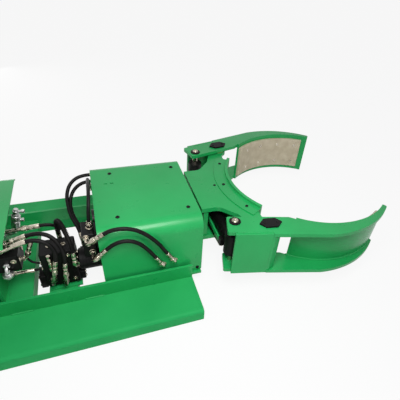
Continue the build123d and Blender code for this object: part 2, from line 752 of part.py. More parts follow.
# Flanged bushes pressed into the ears, the flange towards the arm's rib
def pivot_bush(side, ear_z, up):
    flange_z = ear_z + HEAD_T if up > 0 else ear_z
    place = (PIVOT_X, side * PIVOT_Y)
    with BuildPart() as bush:
        with BuildSketch(Plane.XY.offset(ear_z)):
            with Locations(place):
                Circle(BUSH_R)
        extrude(amount=HEAD_T)
        with BuildSketch(Plane.XY.offset(flange_z)):
            with Locations(place):
                Circle(BUSH_FLANGE_R)
        extrude(amount=up * (HEAD_GAP - BUSH_CLEAR))
        with Locations((*place, AXIS_Z)):
            Cylinder(PIN_R + RUN_GAP, 2 * ARM_TOP, mode=Mode.SUBTRACT)
    return bush.part


ears = [(side, ear_z, up) for side in (-1, 1) for ear_z, up in ((HEAD_TOP - HEAD_T, 1), (HEAD_LOW, -1))]
save(group([pivot_bush(*ear) for ear in ears]), "pivot_bushes")


# Arms: drawn from the pivot in the closed position and turned to the open rest angle
def arm_plane(side, height):
    return Plane(
        origin=(PIVOT_X, side * PIVOT_Y, height),
        x_dir=(cos(LEVER_TURN), side * sin(LEVER_TURN), 0),
        z_dir=(0, 0, 1),
    )


def mirrored(points, side):
    """Points of the arm's plane, given for the far side, on either side."""
    return [(u, side * v) for u, v in points]


def grip_point(radius, angle, side):
    """A point on a circle round the closed grip's centre, in the arm's plane."""
    u = DRUM_REACH + radius * cos(radians(angle))
    v = -PIVOT_Y + radius * sin(radians(angle))
    return (u, side * v)


def grip_arc(radius, angles, side):
    """Three points of an arc round the closed grip's centre."""
    return [grip_point(radius, angle, side) for angle in angles]


def arm_sector(side, r_in, r_out, start, end, z_span):
    """A curved plate of the arm between two radii and two angles."""
    middle = (start + end) / 2
    with BuildPart() as plate:
        with BuildSketch(arm_plane(side, z_span[0])):
            with BuildLine():
                ThreePointArc(*grip_arc(r_in, (start, middle, end), side))
                Line(grip_point(r_in, end, side), grip_point(r_out, end, side))
                ThreePointArc(*grip_arc(r_out, (end, middle, start), side))
                Line(grip_point(r_out, start, side), grip_point(r_in, start, side))
            make_face()
        extrude(amount=z_span[1] - z_span[0])
    return plate.part


def rib(side, z_low):
    seat_r = GRIP_R + SHELL_T
    outline = mirrored(RIB_OUTLINE, side)
    tip = grip_point(seat_r + TIP_DEPTH, TIP_ANGLE, side)
    with BuildPart() as plate:
        with BuildSketch(arm_plane(side, z_low)):
            with BuildLine():
                Polyline(*outline, grip_point(seat_r, RIB_START, side))
                ThreePointArc(*grip_arc(seat_r, (RIB_START, RIB_MIDDLE, TIP_ANGLE), side))
                Line(grip_point(seat_r, TIP_ANGLE, side), tip)
                ThreePointArc(tip, *mirrored((RIB_CROWN,), side), outline[0])
            make_face()
            with Locations((0, 0)):
                Circle(PIN_R, mode=Mode.SUBTRACT)
            with Locations((LEVER_U, side * LEVER_V)):
                Circle(LEVER_PIN_R, mode=Mode.SUBTRACT)
        extrude(amount=RIB_T)
        heels = plate.edges().filter_by(Axis.Z).sort_by(Axis.X)[:2]
        fillet(heels, RIB_HEEL_FILLET)
        tips = plate.edges().filter_by(Axis.Z).sort_by(Axis.X)[-2:]
        fillet(tips.sort_by(Axis.Y)[-1 if side > 0 else 0], TIP_FILLET)
    return plate.part


def wrapper(side):
    """Bent plate outside the lever, with a return between the ribs in front of the pivot."""
    with BuildPart() as plate:
        with BuildSketch(arm_plane(side, ARM_BOTTOM + WRAPPER_INSET)):
            with BuildLine():
                Polyline(*mirrored(WRAPPER_LINE, side))
            trace(line_width=WRAPPER_T)
        extrude(amount=ARM_TOP - ARM_BOTTOM - 2 * WRAPPER_INSET)
        with BuildSketch(arm_plane(side, ARM_BOTTOM + RIB_T)):
            with BuildLine():
                Polyline(*mirrored(RETURN_LINE, side))
            trace(line_width=RETURN_T)
        extrude(amount=ARM_TOP - ARM_BOTTOM - 2 * RIB_T)
        for z_low in (ARM_BOTTOM, ARM_TOP - RIB_T):
            add(rib(side, z_low), mode=Mode.SUBTRACT)
    return plate.part


def pivot_pin(side):
    place = (PIVOT_X, side * PIVOT_Y)
    with BuildPart() as pin:
        with BuildSketch(Plane.XY.offset(ARM_BOTTOM - PIN_HEAD_H)):
            with Locations(place):
                Circle(PIN_HEAD_R)
        extrude(amount=PIN_HEAD_H)
        with BuildSketch(Plane.XY.offset(ARM_BOTTOM)):
            with Locations(place):
                Circle(PIN_R)
        extrude(amount=ARM_TOP - ARM_BOTTOM)
    return pin.part


def lever_pin(side):
    with BuildPart() as pin:
        with BuildSketch(Plane.XY.offset(ARM_BOTTOM - LEVER_PIN_STAND)):
            with Locations((LEVER_X, side * LEVER_Y)):
                Circle(LEVER_PIN_R)
        extrude(amount=ARM_TOP - ARM_BOTTOM + 2 * LEVER_PIN_STAND)
        chamfer(pin.edges().group_by(Axis.Z)[-1], LEVER_PIN_CHAMFER)
    return pin.part


def keeper(side):
    """Keeper plate over the pivot pin, its two screws, and the washers of the lever pin."""
    half_l, half_w = KEEPER_L / 2, KEEPER_W / 2
    shoulder = half_l - KEEPER_POINT
    screw_u = half_l - KEEPER_SCREW_INSET
    near_edge = ((-half_l, 0), (-shoulder, -half_w), (shoulder, -half_w))
    far_edge = [(-u, -v) for u, v in near_edge]
    with BuildPart() as plates:
        with BuildSketch(arm_plane(side, ARM_TOP)):
            with BuildLine():
                Polyline(*near_edge, *far_edge, close=True)
            make_face()
        extrude(amount=KEEPER_T)
        with BuildSketch(arm_plane(side, ARM_TOP + KEEPER_T)):
            with Locations((-screw_u, 0), (screw_u, 0)):
                RegularPolygon(HEX_R, 6)
        extrude(amount=HEX_H)
        for washer_z in (ARM_TOP, ARM_BOTTOM - LEVER_WASHER_T):
            with BuildSketch(Plane.XY.offset(washer_z)):
                with Locations((LEVER_X, side * LEVER_Y)):
                    Circle(LEVER_WASHER_R)
                    Circle(LEVER_PIN_R, mode=Mode.SUBTRACT)
            extrude(amount=LEVER_WASHER_T)
    return plates.part


shell_z = (ARM_BOTTOM, ARM_TOP)
pad_z = (ARM_BOTTOM + PAD_MARGIN, ARM_TOP - PAD_MARGIN)
for name, side in (("near", -1), ("far", 1)):
    shell = arm_sector(side, GRIP_R, GRIP_R + SHELL_T, SHELL_START, TIP_ANGLE, shell_z)
    pad = arm_sector(side, GRIP_R - PAD_T, GRIP_R, PAD_START, PAD_END, pad_z)
    save(group([rib(side, ARM_BOTTOM), rib(side, ARM_TOP - RIB_T)]), f"{name}_arm_ribs")
    save(wrapper(side), f"{name}_arm_wrapper")
    save(shell, f"{name}_arm_shell")
    save(pad, f"{name}_grip_pad")
    save(pivot_pin(side), f"{name}_pivot_pin")
    save(lever_pin(side), f"{name}_lever_pin")
    save(keeper(side), f"{name}_keeper")


# Clamp cylinder between the lever pins: barrel on the near side, rod on the far side
def cylinder_eye(side):
    with BuildPart() as eye:
        with BuildSketch(Plane.XY.offset(AXIS_Z - EYE_H / 2)):
            with Locations((LEVER_X, side * LEVER_Y)):
                Circle(EYE_R)
        extrude(amount=EYE_H)
    return eye.part


def across(radius, y_span):
    """A round bar along Y on the cylinder's axis."""
    with BuildPart() as bar:
        with BuildSketch(Plane(origin=(LEVER_X, y_span[0], AXIS_Z), z_dir=(0, 1, 0))):
            Circle(radius)
        extrude(amount=y_span[1] - y_span[0])
    return bar.part


def lever_bore(side):
    with BuildPart() as bore:
        with Locations((LEVER_X, side * LEVER_Y, AXIS_Z)):
            Cylinder(LEVER_PIN_R + RUN_GAP, 2 * ARM_TOP)
    return bore.part


with BuildPart() as barrel:
    add(cylinder_eye(-1))
    add(across(BARREL_R, (-LEVER_Y, BARREL_END)))
    for port_y in BARREL_PORTS:
        port_span = (port_y - BARREL_PORT_HALF_W, port_y + BARREL_PORT_HALF_W)
        add(box((BARREL_PORT_X, LEVER_X), port_span, (BARREL_PORT_Z, AXIS_Z)))
    add(across(BORE_R, (BARREL_BASE, BARREL_END)), mode=Mode.SUBTRACT)
    add(lever_bore(-1), mode=Mode.SUBTRACT)
save(barrel.part, "cylinder_barrel")

with BuildPart() as gland:
    add(across(GLAND_R, (BARREL_END, BARREL_END + GLAND_L)))
    add(across(ROD_R + RUN_GAP, (BARREL_END, BARREL_END + GLAND_L)), mode=Mode.SUBTRACT)
save(gland.part, "cylinder_gland")

with BuildPart() as rod:
    add(cylinder_eye(1))
    add(across(ROD_R, (PISTON_Y, LEVER_Y)))
    add(across(BORE_R - RUN_GAP, (PISTON_Y - PISTON_L, PISTON_Y)))
    add(lever_bore(1), mode=Mode.SUBTRACT)
save(rod.part, "cylinder_rod")


# Hose ends: crimped ferrule, hexagon nut and an elbow that turns to its port
def end_fitting(tip, inner, face, stub, ferrule_l):
    axis, level = face
    away = (inner - tip).normalized()
    nut_seat = tip - away * ferrule_l
    stub_seat = nut_seat - away * NUT_L
    corner = stub_seat - away * stub
    port = Vector(*[level if name == axis else value for name, value in zip("XYZ", corner)])
    with BuildPart() as fitting:
        with BuildSketch(Plane(origin=tip, z_dir=away)):
            Circle(FERRULE_R)
        extrude(amount=-ferrule_l)
        with BuildSketch(Plane(origin=nut_seat, z_dir=away)):
            RegularPolygon(NUT_R, 6)
        extrude(amount=-NUT_L)
        for start, end in ((stub_seat, corner), (corner, port)):
            if (end - start).length > ELBOW_R / 2:
                with BuildSketch(Plane(origin=start, z_dir=end - start)):
                    Circle(ELBOW_R)
                extrude(amount=(end - start).length)
        if (port - corner).length > ELBOW_R / 2:
            sharp = away.get_angle(port - corner) < SHARP_ELBOW
            with Locations(corner):
                Sphere(ELBOW_BALL_R if sharp else ELBOW_R)
    return fitting.part


# Hoses: straight runs joined by arcs; a run at an end serves one arc, so it counts twice
def hose(points, diameter):
    runs = [end - start for start, end in zip(points, points[1:])]
    room = [run.length for run in runs]
    room[0] *= 2
    room[-1] *= 2
    radii = []
    for number in range(len(runs) - 1):
        half_turn = radians(runs[number].get_angle(runs[number + 1]) / 2)
        radii.append(ARC_SHARE * min(room[number], room[number + 1]) / tan(half_turn))
    with BuildPart() as tube:
        with BuildLine() as path:
            FilletPolyline(*points, radius=radii)
        with BuildSketch(Plane(origin=points[0], z_dir=runs[0])):
            Circle(diameter / 2)
        sweep(path=path.wires()[0])
    print(f"hose of {path.wires()[0].length:.0f} mm, tightest bend {min(radii):.0f} mm")
    return tube.part


fittings = {}
for label, (diameter, start, end, route) in HOSES.items():
    points = [Vector(PIVOT_X + x, y, z) for x, y, z in route]
    save(hose(points, diameter), label)
    for tip, inner, fitting in ((points[0], points[1], start), (points[-1], points[-2], end)):
        place, face, stub, ferrule_l = fitting
        fittings.setdefault(place, []).append(end_fitting(tip, inner, face, stub, ferrule_l))
for place, pieces in fittings.items():
    save(group(pieces), f"{place}_fittings")
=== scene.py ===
"""Looks of the fork-mounted drum clamp: camera, hoses, finishes and the small parts that dress the frame.

Metres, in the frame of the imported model: +X forward to the drum, +Y to the left, +Z up.
"""
from math import cos, pi, radians, sin

import bmesh
import bpy
from mathutils import Matrix, Vector


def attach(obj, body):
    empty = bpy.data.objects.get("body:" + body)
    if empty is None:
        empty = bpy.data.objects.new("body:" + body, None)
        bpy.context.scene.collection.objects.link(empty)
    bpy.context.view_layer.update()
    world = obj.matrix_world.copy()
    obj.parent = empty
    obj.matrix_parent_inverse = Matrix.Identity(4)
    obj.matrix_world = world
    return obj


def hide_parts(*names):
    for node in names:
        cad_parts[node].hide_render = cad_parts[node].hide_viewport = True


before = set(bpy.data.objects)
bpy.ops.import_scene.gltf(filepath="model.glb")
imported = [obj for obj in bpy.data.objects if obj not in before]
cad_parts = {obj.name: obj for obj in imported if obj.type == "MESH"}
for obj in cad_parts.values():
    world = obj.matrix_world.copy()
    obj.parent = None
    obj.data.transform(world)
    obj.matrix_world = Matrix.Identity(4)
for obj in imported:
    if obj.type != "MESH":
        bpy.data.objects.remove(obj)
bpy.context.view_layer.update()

MM = 0.001
PIVOT_X = 0.3667

# Camera: the photograph's viewpoint
CAMERA_PLACE = (-0.22027, -1.19638, 1.19259)
CAMERA_RIGHT = (0.9368, -0.3387, 0.0880)
CAMERA_UP = (0.1459, 0.6067, 0.7814)
FOCAL_PX = 346.826
CENTRE_PX = (224.763, 210.975)
FRAME_PX = 400
SENSOR_MM = 36


def make_camera():
    """Sets the camera at the photograph's place, angle and lens."""
    data = bpy.data.cameras.new("camera")
    data.sensor_width = SENSOR_MM
    data.lens = SENSOR_MM * FOCAL_PX / FRAME_PX
    data.shift_x = (FRAME_PX / 2 - CENTRE_PX[0]) / FRAME_PX
    data.shift_y = (CENTRE_PX[1] - FRAME_PX / 2) / FRAME_PX
    right = Vector(CAMERA_RIGHT).normalized()
    up = Vector(CAMERA_UP)
    back = right.cross(up).normalized()
    up = back.cross(right)
    turn = Matrix((right, up, back)).transposed().to_4x4()
    camera = bpy.data.objects.new("camera", data)
    camera.matrix_world = Matrix.Translation(CAMERA_PLACE) @ turn
    bpy.context.collection.objects.link(camera)
    bpy.context.scene.camera = camera


make_camera()

# Materials: spans of noise, then scale and detail of each pattern
WHOLE = (0, 1)
CLOUDY = (0.3, 0.7)
DUSTY = (0.35, 0.7)
CHIPPED = (0.52, 0.62)
PAINT_DRIFT = (5, 3)
PAINT_SMEARS = (14, 4)
PAINT_WAVES = (60, 1)
PAINT_CHIPS = (130, 5)
PAINT_PEEL = (420, 2)
METAL_CLOUDS = (45, 5)
METAL_SMEARS = (90, 4)
RUBBER_DUST = (30, 5)
RUBBER_SMEARS = (80, 3)
ROD_POLISH = (300, 3)
GRAIN_DETAIL = 4
# Relief strengths and depths in metres, and how edges are found and worn
PAINT_RELIEF, PAINT_RELIEF_DEPTH = 0.035, 0.001
METAL_RELIEF = 0.06
RUBBER_RELIEF = 0.12
ROD_RELIEF = 0.05
FINE_DEPTH = 0.0005
EDGE_TURN = (0.995, 0.86)
EDGE_SAMPLES = 6
WEAR_SHARE = 0.55
RUBBER_EDGE = 0.0015
ROD_EDGE = 0.001
# Gloss, and the chromed bar's own tones and the span of Y where its eye begins
COAT_ROUGHNESS = 0.12
RUBBER_SPECULAR = 0.14
ROD_SPECULAR = 0.3
ROD_ROUGHNESS = (0.1, 0.5)
ROD_EYE_Y = (0.234, 0.236)
CHROME = ((0.70, 0.71, 0.73, 1), (0.82, 0.82, 0.83, 1))
EYE_PAINT = ((0.005, 0.005, 0.005, 1), (0.012, 0.012, 0.012, 1))


def add_node(tree, kind, inputs=None, **settings):
    """A node with its settings; an input given as a socket is linked, else it is set."""
    node = tree.nodes.new(kind)
    for name, value in settings.items():
        setattr(node, name, value)
    for key, value in (inputs or {}).items():
        if isinstance(value, bpy.types.NodeSocket):
            tree.links.new(value, node.inputs[key])
        else:
            node.inputs[key].default_value = value
    return node


def noise(tree, coords, scale, detail=3):
    """A noise value over the given coordinates."""
    inputs = {"Vector": coords, "Scale": scale, "Detail": detail}
    return add_node(tree, "ShaderNodeTexNoise", inputs).outputs["Fac"]


def remap(tree, value, from_span, to_span):
    """A value brought linearly from one span to another, held inside the second."""
    inputs = {"Value": value, "From Min": from_span[0], "From Max": from_span[1],
              "To Min": to_span[0], "To Max": to_span[1]}
    return add_node(tree, "ShaderNodeMapRange", inputs).outputs["Result"]


def combine(tree, operation, first, second):
    """Two values joined by one operation."""
    return add_node(tree, "ShaderNodeMath", {0: first, 1: second}, operation=operation).outputs[0]


def blend_colours(tree, share, low, high):
    """A colour between two, by a share from 0 to 1."""
    node = add_node(tree, "ShaderNodeMix", {0: share, 6: low, 7: high}, data_type="RGBA")
    return node.outputs[2]


def bumped(tree, height, normal, strength, depth=FINE_DEPTH):
    """A normal with fine relief."""
    inputs = {"Strength": strength, "Distance": depth, "Height": height, "Normal": normal}
    return add_node(tree, "ShaderNodeBump", inputs).outputs["Normal"]


def start_material(name):
    """A node material, its tree and its object coordinates."""
    material = bpy.data.materials.new(name)
    material.use_nodes = True
    tree = material.node_tree
    tree.nodes.clear()
    coords = add_node(tree, "ShaderNodeTexCoord").outputs["Object"]
    return material, tree, coords


def end_material(tree, inputs):
    """Closes a material with one principled surface."""
    surface = add_node(tree, "ShaderNodeBsdfPrincipled", inputs)
    output = add_node(tree, "ShaderNodeOutputMaterial")
    tree.links.new(surface.outputs["BSDF"], output.inputs["Surface"])


def edge_mask(tree, radius):
    """Rounded normals of the edges, and how far each point is from a flat."""
    rounded = add_node(tree, "ShaderNodeBevel", {"Radius": radius}, samples=EDGE_SAMPLES).outputs["Normal"]
    flat = add_node(tree, "ShaderNodeNewGeometry").outputs["Normal"]
    turn = add_node(tree, "ShaderNodeVectorMath", {0: rounded, 1: flat}, operation="DOT_PRODUCT")
    return rounded, remap(tree, turn.outputs["Value"], EDGE_TURN, WHOLE)


def painted(name, deep, light, worn, roughness, edge_radius, specular, coat):
    """Sprayed paint: slow drift of tone, fine orange peel, rubbed edges."""
    material, tree, coords = start_material(name)
    rounded, edges = edge_mask(tree, edge_radius)
    drift = remap(tree, noise(tree, coords, *PAINT_DRIFT), CLOUDY, WHOLE)
    colour = blend_colours(tree, drift, deep, light)
    chips = remap(tree, noise(tree, coords, *PAINT_CHIPS), CHIPPED, WHOLE)
    rubbed = combine(tree, "MULTIPLY", combine(tree, "MULTIPLY", edges, chips), WEAR_SHARE)
    colour = blend_colours(tree, rubbed, colour, worn)
    smears = remap(tree, noise(tree, coords, *PAINT_SMEARS), CLOUDY, roughness)
    height = combine(tree, "ADD", noise(tree, coords, *PAINT_PEEL), noise(tree, coords, *PAINT_WAVES))
    relief = bumped(tree, height, rounded, PAINT_RELIEF, PAINT_RELIEF_DEPTH)
    end_material(tree, {"Base Color": colour, "Roughness": smears, "Normal": relief, "Coat Weight": coat,
                        "Coat Roughness": COAT_ROUGHNESS, "Specular IOR Level": specular})
    return material


def metal(name, dull, bright, roughness, edge_radius, grain):
    """Bare or plated steel: brushed grain, cloudy tone, softened edges."""
    material, tree, coords = start_material(name)
    rounded, edges = edge_mask(tree, edge_radius)
    clouds = remap(tree, noise(tree, coords, *METAL_CLOUDS), CLOUDY, WHOLE)
    colour = blend_colours(tree, clouds, dull, bright)
    colour = blend_colours(tree, edges, colour, bright)
    smears = remap(tree, noise(tree, coords, *METAL_SMEARS), CLOUDY, roughness)
    relief = bumped(tree, noise(tree, coords, grain), rounded, METAL_RELIEF)
    end_material(tree, {"Base Color": colour, "Metallic": 1.0, "Roughness": smears, "Normal": relief})
    return material


def rubber(name, deep, light, roughness, grain):
    """Moulded rubber or polyurethane with fine grain and dusty patches."""
    material, tree, coords = start_material(name)
    rounded, edges = edge_mask(tree, RUBBER_EDGE)
    dust = remap(tree, noise(tree, coords, *RUBBER_DUST), DUSTY, WHOLE)
    colour = blend_colours(tree, dust, deep, light)
    colour = blend_colours(tree, edges, colour, light)
    smears = remap(tree, noise(tree, coords, *RUBBER_SMEARS), CLOUDY, roughness)
    relief = bumped(tree, noise(tree, coords, grain, GRAIN_DETAIL), rounded, RUBBER_RELIEF)
    end_material(tree, {"Base Color": colour, "Roughness": smears, "Normal": relief,
                        "Specular IOR Level": RUBBER_SPECULAR})
    return material


def rod_finish(name):
    """Chromed bar with a black painted eye at its far end."""
    material, tree, coords = start_material(name)
    rounded, _ = edge_mask(tree, ROD_EDGE)
    along_bar = add_node(tree, "ShaderNodeSeparateXYZ", {0: coords}).outputs["Y"]
    eye = remap(tree, along_bar, ROD_EYE_Y, WHOLE)
    clouds = remap(tree, noise(tree, coords, *METAL_CLOUDS), CLOUDY, WHOLE)
    chrome = blend_colours(tree, clouds, *CHROME)
    paint = blend_colours(tree, clouds, *EYE_PAINT)
    relief = bumped(tree, noise(tree, coords, *ROD_POLISH), rounded, ROD_RELIEF)
    end_material(tree, {"Base Color": blend_colours(tree, eye, chrome, paint),
                        "Metallic": remap(tree, eye, WHOLE, (1, 0)),
                        "Roughness": remap(tree, eye, WHOLE, ROD_ROUGHNESS),
                        "Normal": relief, "Specular IOR Level": ROD_SPECULAR})
    return material


WORN_GREEN = (0.10, 0.52, 0.22, 1)
MATERIALS = {
    "green_paint": painted("green_paint", deep=(0.012, 0.34, 0.085, 1), light=(0.018, 0.40, 0.105, 1),
                           worn=WORN_GREEN, roughness=(0.26, 0.40), edge_radius=0.0016,
                           specular=0.25, coat=0.12),
    "flat_green": painted("flat_green", deep=(0.020, 0.36, 0.098, 1), light=(0.028, 0.42, 0.118, 1),
                          worn=WORN_GREEN, roughness=(0.40, 0.55), edge_radius=0.0016,
                          specular=0.06, coat=0),
    "black_paint": painted("black_paint", deep=(0.003, 0.003, 0.003, 1), light=(0.006, 0.006, 0.006, 1),
                           worn=(0.05, 0.046, 0.042, 1), roughness=(0.38, 0.55), edge_radius=0.0012,
                           specular=0.12, coat=0),
    "zinc_steel": metal("zinc_steel", dull=(0.265, 0.235, 0.18, 1), bright=(0.63, 0.58, 0.475, 1),
                        roughness=(0.18, 0.34), edge_radius=0.0008, grain=700),
    "machined_steel": metal("machined_steel", dull=(0.42, 0.42, 0.42, 1), bright=(0.62, 0.62, 0.61, 1),
                            roughness=(0.25, 0.42), edge_radius=0.001, grain=900),
    # Oiled steel darkened to near black: the darkness is partly painted shade of the housing's inside
    "oiled_steel_painted_shade": metal("oiled_steel_painted_shade", dull=(0.035, 0.034, 0.033, 1), bright=(0.085, 0.082, 0.08, 1),
                         roughness=(0.34, 0.5), edge_radius=0.001, grain=900),
    "chromed_rod": rod_finish("chromed_rod"),
    "bronze": metal("bronze", dull=(0.48, 0.30, 0.13, 1), bright=(0.66, 0.45, 0.22, 1),
                    roughness=(0.28, 0.44), edge_radius=0.0008, grain=700),
    "hose_rubber": rubber("hose_rubber", deep=(0.003, 0.003, 0.003, 1), light=(0.008, 0.0075, 0.007, 1),
                          roughness=(0.40, 0.58), grain=900),
    "pad_rubber": rubber("pad_rubber", deep=(0.55, 0.47, 0.34, 1), light=(0.66, 0.58, 0.44, 1),
                         roughness=(0.45, 0.65), grain=500),
}

# Finish of each CAD node that isn't in the gloss green
NODE_SLOTS = {
    "cross_members": "flat_green",
    "near_fork_pocket": "flat_green",
    "far_fork_pocket": "flat_green",
    # The spindle, its gears and bearings take the near-black steel, whose darkness is partly painted shade
    "spindle": "oiled_steel_painted_shade",
    "ring_gear": "oiled_steel_painted_shade",
    "motor_pinion": "oiled_steel_painted_shade",
    "cover_screws": "zinc_steel",
    "head_bolts": "zinc_steel",
    "spindle_bearings": "oiled_steel_painted_shade",
    "pivot_bushes": "bronze",
    "hydraulic_motor": "black_paint",
    "counterbalance_block": "black_paint",
    "manifold": "black_paint",
    "valve_block": "black_paint",
    "cylinder_barrel": "black_paint",
    "cylinder_gland": "black_paint",
    "cylinder_rod": "chromed_rod",
    "motor_fittings": "zinc_steel",
    "rotator_fittings": "zinc_steel",
    "manifold_fittings": "zinc_steel",
    "panel_fittings": "zinc_steel",
    "cylinder_fittings": "zinc_steel",
    "near_grip_pad": "pad_rubber",
    "far_grip_pad": "pad_rubber",
    "near_keeper": "black_paint",
    "far_keeper": "black_paint",
    "near_lever_pin": "zinc_steel",
    "far_lever_pin": "zinc_steel",
    "near_pivot_pin": "machined_steel",
    "far_pivot_pin": "machined_steel",
}


def set_material(piece, slot):
    """Gives a piece or CAD node the finish of one slot."""
    if not piece.material_slots:
        piece.data.materials.append(MATERIALS[slot])
    for holder in piece.material_slots:
        holder.material = MATERIALS[slot]


# Hoses in millimetres from the pivots: diameter, length, body, fitting at each end, control points.
# A fitting names the CAD group it stands for, then its port's axis and level, its stub and its ferrule.
HOSES = {
    "side_hose_upper": (15, 303, "frame", ("motor", "Y", -190, 26, 44), ("rotator", "Y", -237, 14, 44), (
        (-610, -250, 360), (-592, -256, 376), (-551, -260, 382), (-508, -263, 371), (-474, -265, 346),
        (-446, -263, 312), (-422, -261, 276), (-405, -258, 241), (-393, -256, 218))),
    "side_hose_lower": (15, 241, "frame", ("motor", "Y", -190, 17, 44), ("rotator", "Y", -237, 14, 44), (
        (-609, -256, 290), (-597, -259, 304), (-569, -260, 320), (-534, -261, 322), (-502, -264, 308),
        (-480, -263, 282), (-461, -261, 252), (-447, -259, 226), (-437, -257, 206))),
    "loop_hose_outer": (15, 345, "frame", ("rotator", "X", -590, 0, 28), ("motor", "Y", -104, 0, 44), (
        (-634, 200, 322), (-666, 200, 322), (-701, 189, 314), (-727, 168, 295), (-740, 134, 267),
        (-738, 95, 244), (-732, 54, 223), (-717, 15, 211), (-706, -14, 202), (-701, -38, 195))),
    "loop_hose_inner": (15, 320, "frame", ("rotator", "X", -590, 0, 28), ("motor", "Y", -104, 0, 44), (
        (-634, 178, 302), (-662, 178, 302), (-696, 169, 289), (-719, 151, 268), (-731, 122, 242),
        (-729, 85, 222), (-718, 48, 206), (-704, 14, 197), (-691, -10, 193), (-680, -38, 186))),
    "valve_hose_upper": (15, 217, "frame", ("panel", "X", -985, 30, 60), ("manifold", "Y", -192, 50, 44), (
        (-872, -160, 326), (-838, -161, 337), (-797, -172, 334), (-770, -187, 313), (-756, -200, 279),
        (-753, -208, 246), (-757, -211, 216))),
    "valve_hose_lower": (15, 190, "frame", ("panel", "X", -985, 24, 44), ("manifold", "Y", -192, 55, 44), (
        (-895, -190, 320), (-864, -191, 331), (-832, -193, 333), (-803, -198, 321), (-785, -204, 299),
        (-779, -209, 272), (-781, -212, 251), (-785, -213, 235))),
    "panel_hose": (13, 142, "frame", ("panel", "X", -985, 66, 44), ("manifold", "Y", -112, 16, 44), (
        (-834, -58, 284), (-819, -58, 285), (-798, -56, 280), (-779, -53, 269), (-765, -50, 252),
        (-756, -48, 232), (-754, -46, 210), (-754, -46, 192))),
    "guarded_hose": (13, 250, "frame", ("manifold", "Y", -192, 12, 44), ("manifold", "Y", -112, 16, 44), (
        (-724, -206, 258), (-724, -206, 286), (-728, -196, 312), (-735, -177, 332), (-744, -153, 343),
        (-754, -127, 343), (-763, -103, 332), (-770, -84, 312), (-774, -74, 286), (-774, -74, 258))),
    "edge_hose": (13, 358, "frame", ("motor", "Z", 316, 0, 12), ("rotator", "X", -590, 8, 28), (
        (-655, -150, 344), (-652, -150, 370), (-648, -141, 395), (-644, -123, 415), (-641, -98, 427),
        (-640, -69, 430), (-640, -34, 426), (-640, 4, 416), (-641, 40, 401), (-642, 73, 380),
        (-642, 99, 355), (-642, 117, 326))),
    "cylinder_hose": (13, 182, "barrel", ("cylinder", "Z", 200, 8, 44), ("cylinder", "Z", 200, 8, 44), (
        (-164, -172, 184), (-166, -131, 181), (-167, -81, 180), (-166, -31, 181), (-164, 10, 184))),
}


def place(x, y, z):
    """A point in metres from its distance to the pivots and its Y and Z in millimetres."""
    return Vector((PIVOT_X + x * MM, y * MM, z * MM))


HOSE_ORDER = 3
HOSE_STEPS = 10
HOSE_ROUNDNESS = 6


def hose_curve(name, route, radius):
    """A round hose on one smooth spline with the route's points as its control points."""
    curve = bpy.data.curves.new(name, "CURVE")
    curve.dimensions = "3D"
    curve.resolution_u = HOSE_STEPS
    curve.bevel_depth = 1
    curve.bevel_resolution = HOSE_ROUNDNESS
    spline = curve.splines.new("NURBS")
    spline.points.add(len(route) - 1)
    for point, where in zip(spline.points, route):
        point.co = (*where, 1)
        point.radius = radius
    spline.order_u = HOSE_ORDER
    spline.use_endpoint_u = True
    piece = bpy.data.objects.new(name, curve)
    bpy.context.collection.objects.link(piece)
    return piece


# Mesh pieces are built in millimetres from the pivots and brought into the frame when they are finished
ROUND = 24
SHARP_ANGLE = radians(32)
NUT_SLOPE = 0.6
NUT_FACE_SHARE = 0.96
BLOCK_SEGMENTS = 2


def finish_piece(name, builder, body, slot, *replaced):
    """Turns built faces into a piece on a body, with its finish and the CAD nodes it stands for."""
    bmesh.ops.recalc_face_normals(builder, faces=builder.faces)
    mesh = bpy.data.meshes.new(name)
    builder.to_mesh(mesh)
    builder.free()
    mesh.transform(Matrix.Translation((PIVOT_X, 0, 0)) @ Matrix.Scale(MM, 4))
    mesh.shade_smooth()
    mesh.set_sharp_from_angle(angle=SHARP_ANGLE)
    piece = bpy.data.objects.new(name, mesh)
    bpy.context.collection.objects.link(piece)
    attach(piece, body)
    set_material(piece, slot)
    if replaced:
        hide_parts(*replaced)


def close_rings(builder, rings):
    """Joins rings of points into a closed skin with a flat face at each end."""
    for low, high in zip(rings, rings[1:]):
        for here in range(len(low)):
            after = (here + 1) % len(low)
            builder.faces.new((low[here], low[after], high[after], high[here]))
    builder.faces.new(rings[0])
    builder.faces.new(rings[-1])


def add_stack(builder, origin, axis, rings):
    """A turned or hexagonal solid: each ring lists the distance and the radius of its points."""
    origin, axis = Vector(origin), Vector(axis).normalized()
    side = axis.orthogonal().normalized()
    up = axis.cross(side)
    made = []
    for ring in rings:
        points = []
        for number, (distance, radius) in enumerate(ring):
            angle = 2 * pi * number / len(ring)
            spoke = side * cos(angle) + up * sin(angle)
            points.append(builder.verts.new(origin + axis * distance + spoke * radius))
        made.append(points)
    close_rings(builder, made)


def turned(*profile):
    """Round rings from pairs of distance and radius."""
    return [[pair] * ROUND for pair in profile]


def hexagon(corner_r):
    """Radii of a hexagon's outline."""
    flat_r = corner_r * cos(pi / 6)
    return [flat_r / cos((2 * pi * number / ROUND) % (pi / 3) - pi / 6) for number in range(ROUND)]


def hex_bar(start, length, corner_r):
    """Rings of a hexagon with the curved chamfers of a turned nut at both ends."""
    flat_r = corner_r * cos(pi / 6)
    low = [(start + (radius - flat_r) * NUT_SLOPE, radius) for radius in hexagon(corner_r)]
    high = [(start + length - (radius - flat_r) * NUT_SLOPE, radius) for radius in hexagon(corner_r)]
    face_r = flat_r * NUT_FACE_SHARE
    return [*turned((start, face_r)), low, high, *turned((start + length, face_r))]


def band(length, low_r, high_r, chamfer):
    """Rings of a raised band with chamfered rims."""
    return turned((0, low_r), (chamfer, high_r), (length - chamfer, high_r), (length, low_r))


def socket(top, depth, corner_r):
    """Rings of a hexagon recess that goes down from a flat top."""
    return [[(level, radius) for radius in hexagon(corner_r)] for level in (top, top - depth)]


